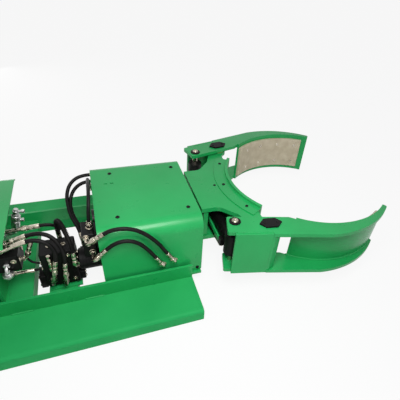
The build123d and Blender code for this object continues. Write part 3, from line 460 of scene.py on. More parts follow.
def add_tube(builder, path, radii, sides):
    """A capped round tube along a path, with a radius at each of its points."""
    rings = []
    side = (path[1] - path[0]).orthogonal()
    for number, point in enumerate(path):
        ahead = path[min(number + 1, len(path) - 1)] - path[max(number - 1, 0)]
        ahead.normalize()
        side = (side - ahead * side.dot(ahead)).normalized()
        up = ahead.cross(side)
        ring = []
        for step in range(sides):
            angle = 2 * pi * step / sides
            ring.append(builder.verts.new(point + (side * cos(angle) + up * sin(angle)) * radii[number]))
        rings.append(ring)
    close_rings(builder, rings)


def add_pipe(builder, path, radius):
    """A capped round tube of one radius."""
    add_tube(builder, path, [radius] * len(path), ROUND)


def add_block(builder, low, high, chamfer):
    """A block between two corners with chamfered edges."""
    block = bmesh.ops.create_cube(builder, size=1)["verts"]
    for vertex in block:
        vertex.co = [high[axis] if vertex.co[axis] > 0 else low[axis] for axis in range(3)]
    edges = list({edge for vertex in block for edge in vertex.link_edges})
    bmesh.ops.bevel(builder, geom=edges, offset=chamfer, segments=BLOCK_SEGMENTS, affect="EDGES", profile=0.5)


# Hose ends: nut, rigid elbow, hexagon adapter, and a ferrule with eight pressed flats
NUT_R = 10.8
NUT_L = 16
PIPE_R = 7
ELBOW_REACH = 16
ELBOW_SHARE = 0.9
ELBOW_STEPS = 8
ADAPTER_R = 11
ADAPTER_L = 9
CRIMP_R = 9
CRIMP_DEPTH = 0.45
CRIMP_FLATS = 8
# A ferrule's places count from its mouth, its middle and its end
FERRULE_MOUTH = ((-1.5, 7.8), (-1, 8.5), (2, 8.9), (3, 8.5))
FERRULE_WAIST = ((-1, 8.3), (0.6, 8.3))
FERRULE_NECK = ((-6, 8.2), (-5, 9.2), (-2, 9.2), (-1.4, 7.9), (1, 7.9))
CRIMP_START, CRIMP_END = 3.6, -7
CRIMP_WAIST = (-1.4, 1)
PORT_WASHER = ((0, 12), (1.6, 12), (2, 11.4), (2.1, 8.6))
PORT_WASHER_T = 2
LEAST_RUN = 1


def crimped(start, end):
    """Rings of a ferrule's pressed band with its flats."""
    spacing = ROUND // CRIMP_FLATS
    facets = [CRIMP_R if number % spacing == 0 else CRIMP_R - CRIMP_DEPTH for number in range(ROUND)]
    return [[(level, facet) for facet in facets] for level in (start, end)]


def shifted(profile, distance):
    """A profile moved along its axis."""
    return [(level + distance, radius) for level, radius in profile]


def ferrule(length):
    """Rings of a crimped ferrule from the hose towards the nut."""
    middle = length / 2
    return [
        *turned(*FERRULE_MOUTH),
        *crimped(CRIMP_START, middle + CRIMP_WAIST[0]),
        *turned(*shifted(FERRULE_WAIST, middle)),
        *crimped(middle + CRIMP_WAIST[1], length + CRIMP_END),
        *turned(*shifted(FERRULE_NECK, length)),
    ]


def elbow(start, corner, end):
    """A rigid pipe's path with a bend at its corner."""
    into, out = start - corner, end - corner
    reach = min(ELBOW_REACH, ELBOW_SHARE * into.length, ELBOW_SHARE * out.length)
    first, last = corner + into.normalized() * reach, corner + out.normalized() * reach
    shares = [number / ELBOW_STEPS for number in range(ELBOW_STEPS + 1)]
    turn = [first.lerp(corner, share).lerp(corner.lerp(last, share), share) for share in shares]
    return [start, *turn, end]


def add_fitting(builder, tip, inner, axis, level, stub, ferrule_l):
    """Ferrule, nut and elbow from a hose's end to its port, with a hexagon adapter at the port."""
    back = (tip - inner).normalized()
    nut_seat = tip + back * ferrule_l
    stub_seat = nut_seat + back * NUT_L
    corner = stub_seat + back * stub
    port = corner.copy()
    port["XYZ".index(axis)] = level
    add_stack(builder, tip, back, ferrule(ferrule_l))
    add_stack(builder, nut_seat, back, hex_bar(0, NUT_L, NUT_R))
    reach = port - corner
    if reach.length > PIPE_R and stub:
        add_pipe(builder, elbow(stub_seat, corner, port), PIPE_R)
    elif (port - stub_seat).length > LEAST_RUN:
        add_pipe(builder, [stub_seat, port], PIPE_R)
    outward = -reach if reach.length > LEAST_RUN else -back
    add_stack(builder, port, outward, turned(*PORT_WASHER))
    if reach.length > 2 * ADAPTER_L:
        add_stack(builder, port, outward, hex_bar(PORT_WASHER_T, ADAPTER_L, ADAPTER_R))


hose_lines = {}
end_builders = {}
for hose_name, (diameter, length, body, start, end, stations) in HOSES.items():
    route = [place(*station) for station in stations]
    piece = hose_curve(f"{hose_name}_line", route, diameter * MM / 2)
    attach(piece, body)
    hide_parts(hose_name)
    set_material(piece, "hose_rubber")
    hose_lines[hose_name] = piece
    points = [Vector(station) for station in stations]
    for tip, inner, (group, *fitting) in ((points[0], points[1], start), (points[-1], points[-2], end)):
        if group not in end_builders:
            end_builders[group] = bmesh.new()
        add_fitting(end_builders[group], tip, inner, *fitting)
for group, builder in end_builders.items():
    carrier = "barrel" if group == "cylinder" else "frame"
    finish_piece(f"{group}_hose_ends", builder, carrier, "zinc_steel", f"{group}_fittings")

# Spring guard wound round the guarded hose
GUARD_R = 8.2
GUARD_WIRE_R = 1.2
GUARD_WIRE_SIDES = 6
GUARD_PITCH = 5.5
GUARD_STEPS = 12


def hose_line(piece):
    """Points along a hose's spline, in millimetres from the pivots."""
    bare = piece.data.copy()
    bare.bevel_depth = 0
    holder = bpy.data.objects.new("bare_line", bare)
    mesh = bpy.data.meshes.new_from_object(holder)
    points = [(vertex.co - Vector((PIVOT_X, 0, 0))) / MM for vertex in mesh.vertices]
    bpy.data.meshes.remove(mesh)
    bpy.data.objects.remove(holder)
    bpy.data.curves.remove(bare)
    return points


def wound(points):
    """A helix round a line of points."""
    path = []
    side = (points[1] - points[0]).orthogonal().normalized()
    turn = 0
    for here, after in zip(points, points[1:]):
        run = after - here
        ahead = run.normalized()
        side = (side - ahead * side.dot(ahead)).normalized()
        up = ahead.cross(side)
        count = max(1, round(run.length / GUARD_PITCH * GUARD_STEPS))
        for number in range(count):
            turn += 2 * pi * run.length / GUARD_PITCH / count
            spoke = side * cos(turn) + up * sin(turn)
            path.append(here + run * number / count + spoke * GUARD_R)
    return path


guard = bmesh.new()
guard_path = wound(hose_line(hose_lines["guarded_hose"]))
add_tube(guard, guard_path, [GUARD_WIRE_R] * len(guard_path), GUARD_WIRE_SIDES)
finish_piece("guard_spring", guard, "frame", "black_paint")

# Plated sleeves over the first stretch of the valve hoses
SLEEVE_R = 9.2
SLEEVES = (("valve_hose_upper", 16), ("valve_hose_lower", 38))


def first_stretch(points, reach):
    """The points of a line up to a distance from its start."""
    taken, gone = [points[0]], 0
    for here, after in zip(points, points[1:]):
        gone += (after - here).length
        if gone < reach:
            taken.append(after)
    return taken


sleeves = bmesh.new()
for hose_name, reach in SLEEVES:
    add_pipe(sleeves, first_stretch(hose_line(hose_lines[hose_name]), reach), SLEEVE_R)
finish_piece("valve_sleeves", sleeves, "frame", "zinc_steel")

# Bolts, screws and plugs. Profiles give a height and a radius. The washer's radii are shares of its bolt's,
# and the button's pairs are shares of its own height and radius.
UP, DOWN = (0, 0, 1), (0, 0, -1)
FORWARD, REARWARD = (1, 0, 0), (-1, 0, 0)
FAR_WAY, NEAR_WAY = (0, 1, 0), (0, -1, 0)
BOLT_WASHER_T = 1.5
BOLT_WASHER = ((0, 1.25), (1.2, 1.25), (BOLT_WASHER_T, 1.1))
BUTTON_DOME = ((0, 1), (0.25, 1), (0.65, 0.84), (1, 0.55))
BUTTON_SOCKET_DEPTH, BUTTON_SOCKET_R = 0.5, 0.4
PLUG_H = 3
PLUG_RIM = 0.6
PLUG_SOCKET_DEPTH = 2.6
PLUG_SOCKET_SHARE = 0.55


def add_bolt(builder, seat, axis, corner_r, height):
    """A hexagon head on its washer."""
    washer = [(level, share * corner_r) for level, share in BOLT_WASHER]
    add_stack(builder, seat, axis, turned(*washer))
    add_stack(builder, seat, axis, hex_bar(BOLT_WASHER_T, height, corner_r))


def add_button(builder, seat, axis, radius, height):
    """A domed screw head with a hexagon socket."""
    dome = [(share * height, wide * radius) for share, wide in BUTTON_DOME]
    recess = socket(height, BUTTON_SOCKET_DEPTH * height, BUTTON_SOCKET_R * radius)
    add_stack(builder, seat, axis, turned(*dome) + recess)


def add_plug(builder, seat, axis, radius):
    """A port plug: a low collar with a hexagon socket."""
    collar = turned((0, radius), (PLUG_H - PLUG_RIM, radius), (PLUG_H, radius - PLUG_RIM))
    add_stack(builder, seat, axis, collar + socket(PLUG_H, PLUG_SOCKET_DEPTH, PLUG_SOCKET_SHARE * radius))


# Cover: four screws on top and one low on each side
COVER_TOP, COVER_SIDE = 346, 237
COVER_SCREWS_X, COVER_SCREW_Y = (-554, -284), 152
LOW_SCREW_X, LOW_SCREW_Z = -261, 82
COVER_SCREW = (8, 4)
cover_screws = bmesh.new()
for screw_x in COVER_SCREWS_X:
    for screw_y in (-COVER_SCREW_Y, COVER_SCREW_Y):
        add_button(cover_screws, (screw_x, screw_y, COVER_TOP), UP, *COVER_SCREW)
add_button(cover_screws, (LOW_SCREW_X, -COVER_SIDE, LOW_SCREW_Z), NEAR_WAY, *COVER_SCREW)
add_button(cover_screws, (LOW_SCREW_X, COVER_SIDE, LOW_SCREW_Z), FAR_WAY, *COVER_SCREW)
finish_piece("cover_buttons", cover_screws, "frame", "black_paint", "cover_screws")

# Head: screws round the cradle, one in the top plate, and the bolts of the spindle's flange
DRUM_X = 303
SPINDLE_Z = 232.5
CRADLE_BOLT_R, CRADLE_BOLT_ANGLES = 382, (-27, 0, 27)
CRADLE_TOP, CRADLE_BOTTOM = 322, 143
CRADLE_SCREW = (7, 4)
PLATE_SCREW_SEAT = (-119, 8, 318)
PLATE_SCREW = (6, 3)
FLANGE_X, FLANGE_PCD_R, FLANGE_BOLTS = -193, 51, 8
FLANGE_BOLT = (8, 6)
cradle_screws = bmesh.new()
for bolt_angle in CRADLE_BOLT_ANGLES:
    bolt_x = DRUM_X - CRADLE_BOLT_R * cos(radians(bolt_angle))
    bolt_y = CRADLE_BOLT_R * sin(radians(bolt_angle))
    add_button(cradle_screws, (bolt_x, bolt_y, CRADLE_TOP), UP, *CRADLE_SCREW)
    add_button(cradle_screws, (bolt_x, bolt_y, CRADLE_BOTTOM), DOWN, *CRADLE_SCREW)
add_button(cradle_screws, PLATE_SCREW_SEAT, UP, *PLATE_SCREW)
finish_piece("cradle_screws", cradle_screws, "head", "black_paint")
head_bolts = bmesh.new()
for number in range(FLANGE_BOLTS):
    bolt_angle = 2 * pi * number / FLANGE_BOLTS
    bolt_y, bolt_z = FLANGE_PCD_R * cos(bolt_angle), SPINDLE_Z + FLANGE_PCD_R * sin(bolt_angle)
    add_bolt(head_bolts, (FLANGE_X, bolt_y, bolt_z), FORWARD, *FLANGE_BOLT)
finish_piece("head_hex_bolts", head_bolts, "head", "zinc_steel", "head_bolts")

# Motor: bolts of its flange and of its end cap, bands round its body, and the hub of the cap
MOTOR_Y, MOTOR_Z, MOTOR_REAR = -150, 166.2, -715
MOTOR_FLANGE_X, MOTOR_BOLT_REACH = -602, 38
MOTOR_BOLT = (8, 7)
CAP_BOLT_PCD_R, CAP_BOLTS = 30, 6
CAP_BOLT = (5.5, 4)
MOTOR_BANDS = ((-712, 14), (-690, 3), (-640, 3), (-620, 18))
MOTOR_BAND_FORM = (42, 43, 0.6)
MOTOR_HUB = ((0, 17), (3, 17), (4, 15), (4.2, 9), (3.4, 8))
motor_bolts = bmesh.new()
for corner_y in (-MOTOR_BOLT_REACH, MOTOR_BOLT_REACH):
    for corner_z in (-MOTOR_BOLT_REACH, MOTOR_BOLT_REACH):
        seat = (MOTOR_FLANGE_X, MOTOR_Y + corner_y, MOTOR_Z + corner_z)
        add_bolt(motor_bolts, seat, REARWARD, *MOTOR_BOLT)
for number in range(CAP_BOLTS):
    bolt_angle = 2 * pi * number / CAP_BOLTS
    bolt_y = MOTOR_Y + CAP_BOLT_PCD_R * cos(bolt_angle)
    bolt_z = MOTOR_Z + CAP_BOLT_PCD_R * sin(bolt_angle)
    add_bolt(motor_bolts, (MOTOR_REAR, bolt_y, bolt_z), REARWARD, *CAP_BOLT)
finish_piece("motor_bolts", motor_bolts, "frame", "zinc_steel")
motor_bands = bmesh.new()
for band_x, band_l in MOTOR_BANDS:
    add_stack(motor_bands, (band_x, MOTOR_Y, MOTOR_Z), FORWARD, band(band_l, *MOTOR_BAND_FORM))
add_stack(motor_bands, (MOTOR_REAR, MOTOR_Y, MOTOR_Z), REARWARD, turned(*MOTOR_HUB))
finish_piece("motor_bands", motor_bands, "frame", "black_paint")

# Plugs on the counterbalance block, the manifold and the valve block: seat, direction, radius
PLUGS = (
    ((-687, -170, 292), REARWARD, 8), ((-687, -130, 248), REARWARD, 8), ((-668, -190, 268), NEAR_WAY, 7),
    ((-806, -152, 258), UP, 9), ((-757, -152, 258), UP, 9), ((-745, -192, 238), NEAR_WAY, 8),
    ((-738, -192, 112), NEAR_WAY, 8), ((-838, -150, 220), REARWARD, 10), ((-918, -140, 276), UP, 9),
    ((-898, -122, 246), FORWARD, 9), ((-898, -180, 246), FORWARD, 9), ((-914, -196, 254), NEAR_WAY, 9),
)
plugs = bmesh.new()
for plug in PLUGS:
    add_plug(plugs, *plug)
finish_piece("port_plugs", plugs, "frame", "zinc_steel")

# Cap blocks in front of the counterbalance block and at both ends of the manifold, with their screws
BLOCK_CAP = ((-646, -184, 232), (-614, -116, 310), 4)
MANIFOLD_CAPS = (((-719, -190, 96), (-700, -128, 136), 2.5), ((-860, -189, 84), (-837, -132, 146), 2.5))
CAP_SCREWS_Y = (-180, -138)
CAP_SCREW_ROWS = ((-700, FORWARD, (105, 127)), (-860, REARWARD, (94, 136)))
CAP_SCREW = (5, 4)
block_cap = bmesh.new()
add_block(block_cap, *BLOCK_CAP)
finish_piece("block_cap", block_cap, "frame", "black_paint")
manifold_cap = bmesh.new()
for cap in MANIFOLD_CAPS:
    add_block(manifold_cap, *cap)
finish_piece("manifold_cap", manifold_cap, "frame", "black_paint")
cap_screws = bmesh.new()
for screw_y in CAP_SCREWS_Y:
    for screw_x, axis, levels in CAP_SCREW_ROWS:
        for screw_z in levels:
            add_button(cap_screws, (screw_x, screw_y, screw_z), axis, *CAP_SCREW)
finish_piece("manifold_cap_screws", cap_screws, "frame", "zinc_steel")

# Upright coupler on the housing's front panel: an elbow, nuts, a turned body and two side nubs.
# Here and below a nut gives its start, length and corner radius.
COUPLER_PORT, COUPLER_FOOT = Vector((-985, 18, 205)), Vector((-938, 18, 205))
COUPLER_TOP = Vector((-905, 18, 334))
COUPLER_PIPE_R, COUPLER_PIPE_L = 7, 40
COUPLER_PORT_NUT = (0, 12, 13)
COUPLER_NUTS = ((24, 14, 15), (98, 12, 12))
COUPLER_BODY_SEAT = 38
COUPLER_BODY = ((0, 11), (1, 15.5), (24, 15.5), (25, 13.5), (29, 13.5), (30, 16.5), (48, 16.5), (49, 12),
                (56, 12), (57, 8), (80, 8))
NUB_SEATS = (62, 104)
NUB = ((0, 5), (19, 5), (19.5, 7), (29, 7), (30, 5.5))
coupler = bmesh.new()
coupler_way = (COUPLER_TOP - COUPLER_FOOT).normalized()
pipe_end = COUPLER_FOOT + coupler_way * COUPLER_PIPE_L
add_pipe(coupler, elbow(COUPLER_PORT, COUPLER_FOOT, pipe_end), COUPLER_PIPE_R)
add_stack(coupler, COUPLER_PORT, FORWARD, hex_bar(*COUPLER_PORT_NUT))
for nut_seat, nut_l, nut_r in COUPLER_NUTS:
    add_stack(coupler, COUPLER_FOOT + coupler_way * nut_seat, coupler_way, hex_bar(0, nut_l, nut_r))
add_stack(coupler, COUPLER_FOOT + coupler_way * COUPLER_BODY_SEAT, coupler_way, turned(*COUPLER_BODY))
for nub_seat in NUB_SEATS:
    add_stack(coupler, COUPLER_FOOT + coupler_way * nub_seat, FORWARD, turned(*NUB))
finish_piece("upright_coupler", coupler, "frame", "machined_steel")

# Test point that leans forward from the valve block's front
TEST_PORT, TEST_CORNER = Vector((-898, -150, 218)), Vector((-885, -150, 218))
TEST_LEAN = Vector((36, 0, 89))
TEST_PIPE_R, TEST_PIPE_L = 6, 50
TEST_NUT_SEAT, TEST_CAP_SEAT = 18, 37
TEST_PORT_NUT, TEST_NUT = (0, 7, 11), (0, 14, 10.5)
TEST_CAP = ((0, 6.5), (1, 8), (18, 8), (19, 7), (22, 7), (23, 8.6), (36, 8.6), (43, 4.5), (47, 4))
test_point = bmesh.new()
test_way = TEST_LEAN.normalized()
add_pipe(test_point, elbow(TEST_PORT, TEST_CORNER, TEST_CORNER + test_way * TEST_PIPE_L), TEST_PIPE_R)
add_stack(test_point, TEST_PORT, FORWARD, hex_bar(*TEST_PORT_NUT))
add_stack(test_point, TEST_CORNER + test_way * TEST_NUT_SEAT, test_way, hex_bar(*TEST_NUT))
add_stack(test_point, TEST_CORNER + test_way * TEST_CAP_SEAT, test_way, turned(*TEST_CAP))
finish_piece("test_point", test_point, "frame", "zinc_steel")

# Cartridge under the valve block, with a thin pipe from its ring and one from the test point to the manifold
CARTRIDGE_SEAT, CARTRIDGE_FOOT = Vector((-950, -160, 208)), Vector((-958, -160, 166))
CARTRIDGE_HEX = (0, 12, 13)
CARTRIDGE_BODY = ((11, 9), (12, 10.5), (36, 10.5), (37, 9), (43, 9))
CARTRIDGE_RING = ((0, 15), (1.2, 17), (13, 17), (14, 15.5), (14, 8), (12.6, 7))
PIPE_Y, PIPE_Z, BRANCH_Z = -160, 159, 188
PIPE_NUT_X, PIPE_SLEEVE_X, MANIFOLD_REAR = -943, -931, -838
PIPE_NUT, PIPE_PORT_NUT = (0, 12, 8.5), (0, 8, 8.5)
PIPE_SLEEVE = ((0, 6.4), (22, 6.4), (23, 5.6), (26, 5.6), (27, 6.6), (58, 6.6), (60, 5.4), (61, 4.6))
PIPE_ENDS_X = (-874, -844)
LOW_PIPE_R, BRANCH_R = 4.8, 4
BRANCH = (Vector((-883, -150, 214)), Vector((-874, -154, 196)), Vector((-842, PIPE_Y, BRANCH_Z)))
cartridge = bmesh.new()
cartridge_way = (CARTRIDGE_FOOT - CARTRIDGE_SEAT).normalized()
add_stack(cartridge, CARTRIDGE_SEAT, cartridge_way, hex_bar(*CARTRIDGE_HEX))
add_stack(cartridge, CARTRIDGE_SEAT, cartridge_way, turned(*CARTRIDGE_BODY))
add_stack(cartridge, CARTRIDGE_FOOT, DOWN, turned(*CARTRIDGE_RING))
add_stack(cartridge, (PIPE_NUT_X, PIPE_Y, PIPE_Z), FORWARD, hex_bar(*PIPE_NUT))
add_stack(cartridge, (PIPE_SLEEVE_X, PIPE_Y, PIPE_Z), FORWARD, turned(*PIPE_SLEEVE))
for port_z in (PIPE_Z, BRANCH_Z):
    add_stack(cartridge, (MANIFOLD_REAR, PIPE_Y, port_z), REARWARD, hex_bar(*PIPE_PORT_NUT))
finish_piece("valve_cartridge", cartridge, "frame", "zinc_steel")
low_pipe = bmesh.new()
add_pipe(low_pipe, [Vector((x, PIPE_Y, PIPE_Z)) for x in PIPE_ENDS_X], LOW_PIPE_R)
add_pipe(low_pipe, elbow(*BRANCH), BRANCH_R)
finish_piece("low_pipe", low_pipe, "frame", "black_paint")

# Coupling that hangs from an elbow on the valve block's near side
DRAIN_PORT, DRAIN_CORNER = Vector((-938, -196, 242)), Vector((-938, -216, 242))
DRAIN_FOOT = Vector((-938, -216, 219))
DRAIN_PIPE_R = 6
DRAIN_PORT_NUT, DRAIN_NUT = (0, 8, 11), (3, 9, 9.5)
DRAIN_RING = ((-3, 9), (-2.6, 10), (0, 10), (0.2, 15), (1.6, 18.5), (11, 18.5), (12.5, 17), (12.6, 9),
              (11, 8))
drain = bmesh.new()
add_pipe(drain, elbow(DRAIN_PORT, DRAIN_CORNER, DRAIN_FOOT), DRAIN_PIPE_R)
add_stack(drain, DRAIN_PORT, NEAR_WAY, hex_bar(*DRAIN_PORT_NUT))
add_stack(drain, DRAIN_FOOT, UP, hex_bar(*DRAIN_NUT))
add_stack(drain, DRAIN_FOOT, DOWN, turned(*DRAIN_RING))
finish_piece("drain_coupling", drain, "frame", "machined_steel")

# Coupling that stands on the manifold's near side
SIDE_X, SIDE_Y = -806, -203
SIDE_PATH = (Vector((SIDE_X, -192, 168)), Vector((SIDE_X, SIDE_Y, 168)), Vector((SIDE_X, SIDE_Y, 250)))
SIDE_PIPE_R = 5
SIDE_NUTS = ((186, 12, 8), (248, 10, 7.5))
SIDE_BODY_Z = 200
SIDE_BODY = ((0, 5.5), (1, 6.6), (24, 6.6), (25, 5.6), (28, 5.6), (29, 6.6), (46, 6.6), (48, 5.4))
side_coupling = bmesh.new()
add_pipe(side_coupling, elbow(*SIDE_PATH), SIDE_PIPE_R)
for nut_z, nut_l, nut_r in SIDE_NUTS:
    add_stack(side_coupling, (SIDE_X, SIDE_Y, nut_z), UP, hex_bar(0, nut_l, nut_r))
add_stack(side_coupling, (SIDE_X, SIDE_Y, SIDE_BODY_Z), UP, turned(*SIDE_BODY))
finish_piece("side_coupling", side_coupling, "frame", "zinc_steel")

# Arms: places in an arm's plane, measured from its pivot in the closed position and turned to rest
OPEN_TURN = radians(7)
PIVOT_Y = 320
GRIP_R = 350
PAD_T = 15
PAD_HALF_H = 85.5
PAD_ROUND = 5
PAD_ROUND_STEPS = 5
PAD_END_SHARES = (0, 0.06, 0.22, 0.5, 1)
PAD_ANGLES = (121.3, 52)
PAD_STATIONS = 48
PAD_SCREW_ANGLES = (110, 93, 75, 58)
PAD_SCREW_Z = 52
PAD_SCREW = ((-1, 8), (0.2, 8), (0.5, 7.6))
PAD_SOCKET = (0.5, 0.4, 3.6)


def arm_place(side, u, v, z):
    """A point of an arm's plane, given for the far side, on either side."""
    x = u * cos(OPEN_TURN) - v * sin(OPEN_TURN)
    y = PIVOT_Y + u * sin(OPEN_TURN) + v * cos(OPEN_TURN)
    return Vector((x, side * y, z))


def grip_place(side, radius, angle, z):
    """A point round the closed grip's centre."""
    turn = radians(angle)
    return arm_place(side, DRUM_X + radius * cos(turn), radius * sin(turn) - PIVOT_Y, z)


def pad_outline():
    """Depth and height round the pad's section, with round front edges."""
    outline = [(0, -PAD_HALF_H), (0, PAD_HALF_H)]
    for direction in (1, -1):
        centre = direction * (PAD_HALF_H - PAD_ROUND)
        arc = [pi / 2 * number / PAD_ROUND_STEPS for number in range(PAD_ROUND_STEPS + 1)]
        for angle in arc if direction > 0 else reversed(arc):
            depth = PAD_T - PAD_ROUND + PAD_ROUND * sin(angle)
            outline.append((depth, centre + direction * PAD_ROUND * cos(angle)))
    return outline


def pad_depth(arc_from_end):
    """Thickest the pad is at a distance from its end, where its edge is round."""
    inset = PAD_ROUND - min(arc_from_end, PAD_ROUND)
    return PAD_T - PAD_ROUND + (PAD_ROUND**2 - inset**2) ** 0.5


def add_pad(builder, side):
    """A curved grip pad with round edges on its face and ends."""
    span = radians(PAD_ANGLES[0] - PAD_ANGLES[1]) * GRIP_R
    ends = [PAD_ROUND * share for share in PAD_END_SHARES]
    middle = [PAD_ROUND + (span - 2 * PAD_ROUND) * number / PAD_STATIONS for number in range(1, PAD_STATIONS)]
    rings = []
    for arc in [*ends, *middle, *[span - end for end in reversed(ends)]]:
        angle = PAD_ANGLES[0] - (PAD_ANGLES[0] - PAD_ANGLES[1]) * arc / span
        limit = pad_depth(min(arc, span - arc))
        ring = []
        for depth, height in pad_outline():
            where = grip_place(side, GRIP_R - min(depth, limit), angle, SPINDLE_Z + height)
            ring.append(builder.verts.new(where))
        rings.append(ring)
    close_rings(builder, rings)


def add_pad_screws(builder, side):
    """Flush screw heads that hold the pad."""
    for angle in PAD_SCREW_ANGLES:
        for height in (-PAD_SCREW_Z, PAD_SCREW_Z):
            seat = grip_place(side, GRIP_R - PAD_T, angle, SPINDLE_Z + height)
            centre = grip_place(side, 0, angle, SPINDLE_Z + height)
            add_stack(builder, seat, centre - seat, turned(*PAD_SCREW) + socket(*PAD_SOCKET))


# Keepers over the pivot pins, and the ends of the lever pins
ARM_TOP, ARM_BOTTOM = 340, 125
LEVER_U, LEVER_V = -136.5, -28.6
KEEPER_OUTLINE = ((-46, 0), (-24, -25), (24, -25), (46, 0), (24, 25), (-24, 25))
KEEPER_T = 8
KEEPER_RINGS = ((1, 0), (1, 6.5), (0.96, KEEPER_T))
KEEPER_BOLT_U = 26
KEEPER_BOLT = (5, 3)
LEVER_WASHER = ((0, 13), (0, 23), (3.2, 23), (4, 22), (4, 13))
LEVER_HEAD = ((-1, 12.6), (1, 12.2), (2.4, 10.6), (3, 8), (2.4, 5), (2.4, 3))
NIPPLE_HEX = (2.2, 2, 3)
NIPPLE_TIP = ((4.2, 1.6), (5.6, 2), (6.6, 1.6), (7.2, 1))


def add_keeper(builder, side):
    """Keeper plate with chamfered rims and its bolts, and the two washers of the lever pin."""
    rings = []
    for scale, level in KEEPER_RINGS:
        corners = [arm_place(side, u * scale, v * scale, ARM_TOP + level) for u, v in KEEPER_OUTLINE]
        rings.append([builder.verts.new(corner) for corner in corners])
    close_rings(builder, rings)
    for bolt_u in (-KEEPER_BOLT_U, KEEPER_BOLT_U):
        add_button(builder, arm_place(side, bolt_u, 0, ARM_TOP + KEEPER_T), UP, *KEEPER_BOLT)
    lever = arm_place(side, LEVER_U, LEVER_V, 0)
    for level, axis in ((ARM_TOP, UP), (ARM_BOTTOM, DOWN)):
        add_stack(builder, (lever.x, lever.y, level), axis, turned(*LEVER_WASHER))


def add_arm_studs(builder, side):
    """The dished head and grease nipple of the lever pin."""
    lever = arm_place(side, LEVER_U, LEVER_V, ARM_TOP + KEEPER_T)
    add_stack(builder, lever, UP, turned(*LEVER_HEAD))
    add_stack(builder, lever, UP, hex_bar(*NIPPLE_HEX) + turned(*NIPPLE_TIP))


# Weld beads: along the arms' shells and wrappers, the frame's rails and members, and the head's web and back
WELD_STEP = 3
WELD_RIPPLE = 0.22
WELD_SIDES = 8
WELD_TAPER = 3
WELD_R = 4
SHELL_BEAD_ANGLES = [123 - 1.5 * number for number in range(51)]
SHELL_BEAD_R = GRIP_R + 11
SHELL_BEAD_INSET = 17
WRAPPER_BEAD = ((-143, 35.3), (-8, 49.2))
WRAPPER_BEAD_INSET = 1.5
WRAPPER_WELD_R = 2.6
RAIL_BEADS = ((-967, -892), (-716, -642))
RAIL_BEAD_PLACE = (260, 55)
REAR_MEMBER_BEAD = (-972, -896)
MIDDLE_MEMBER_BEAD = (-837, -738)
MEMBER_BEAD_PLACE = (248, 71)
HOUSING_BEADS = ((-1260, -1200), (-1120, -1060), (-1040, -985))
HOUSING_BEAD_PLACE = (221, 71)
HOUSING_WELD_R = 3.5
HEAD_BEAD_LEVELS = (168.5, 296.5)
WEB_BEAD_R = 372
WEB_BEAD_ANGLES = range(-26, 27, 2)
BACK_BEAD_X, BACK_BEAD_Y = -192, 138


def spaced(path, step):
    """Points at even steps along a line of points."""
    points = [path[0]]
    for start, end in zip(path, path[1:]):
        count = max(1, round((end - start).length / step))
        points += [start.lerp(end, (number + 1) / count) for number in range(count)]
    return points


def add_weld(builder, path, size):
    """A rippled bead along a path, drawn in at its ends."""
    points = spaced([Vector(point) for point in path], WELD_STEP)
    radii = [size * (1 - WELD_RIPPLE * (number % 2)) for number in range(len(points))]
    radii[0] = radii[-1] = size / WELD_TAPER
    add_tube(builder, points, radii, WELD_SIDES)


def add_arm_welds(builder, side):
    """Beads along the shell and the wrapper where they meet the ribs."""
    for level in (ARM_BOTTOM + SHELL_BEAD_INSET, ARM_TOP - SHELL_BEAD_INSET):
        arc = [grip_place(side, SHELL_BEAD_R, angle, level) for angle in SHELL_BEAD_ANGLES]
        add_weld(builder, arc, WELD_R)
    for level in (ARM_TOP - WRAPPER_BEAD_INSET, ARM_BOTTOM + WRAPPER_BEAD_INSET):
        add_weld(builder, [arm_place(side, u, v, level) for u, v in WRAPPER_BEAD], WRAPPER_WELD_R)


def add_frame_weld(builder, span, side, where, size):
    """A straight bead along the frame, on one side of it."""
    y, z = where
    add_weld(builder, [(x, side * y, z) for x in span], size)


ARM_PIECES = (
    ("pad_cover", add_pad, "pad_rubber", "grip_pad"),
    ("pad_screws", add_pad_screws, "zinc_steel", None),
    ("keeper_plate", add_keeper, "black_paint", "keeper"),
    ("arm_studs", add_arm_studs, "zinc_steel", None),
    ("arm_beads", add_arm_welds, "green_paint", None),
)
for name, side in (("near", -1), ("far", 1)):
    for piece_name, add_form, slot, node in ARM_PIECES:
        form = bmesh.new()
        add_form(form, side)
        replaced = [f"{name}_{node}"] if node else []
        finish_piece(f"{name}_{piece_name}", form, f"{name}_arm", slot, *replaced)

frame_beads = bmesh.new()
for side in (-1, 1):
    for bead in RAIL_BEADS:
        add_frame_weld(frame_beads, bead, side, RAIL_BEAD_PLACE, WELD_R)
    add_frame_weld(frame_beads, REAR_MEMBER_BEAD, side, MEMBER_BEAD_PLACE, WELD_R)
    for bead in HOUSING_BEADS:
        add_frame_weld(frame_beads, bead, side, HOUSING_BEAD_PLACE, HOUSING_WELD_R)
add_frame_weld(frame_beads, MIDDLE_MEMBER_BEAD, -1, MEMBER_BEAD_PLACE, WELD_R)
finish_piece("frame_beads", frame_beads, "frame", "green_paint")

head_beads = bmesh.new()
for level in HEAD_BEAD_LEVELS:
    turns = [radians(angle) for angle in WEB_BEAD_ANGLES]
    arc = [(DRUM_X - WEB_BEAD_R * cos(turn), WEB_BEAD_R * sin(turn), level) for turn in turns]
    add_weld(head_beads, arc, WELD_R)
    add_weld(head_beads, [(BACK_BEAD_X, y, level) for y in (-BACK_BEAD_Y, BACK_BEAD_Y)], WELD_R)
finish_piece("head_beads", head_beads, "head", "green_paint")

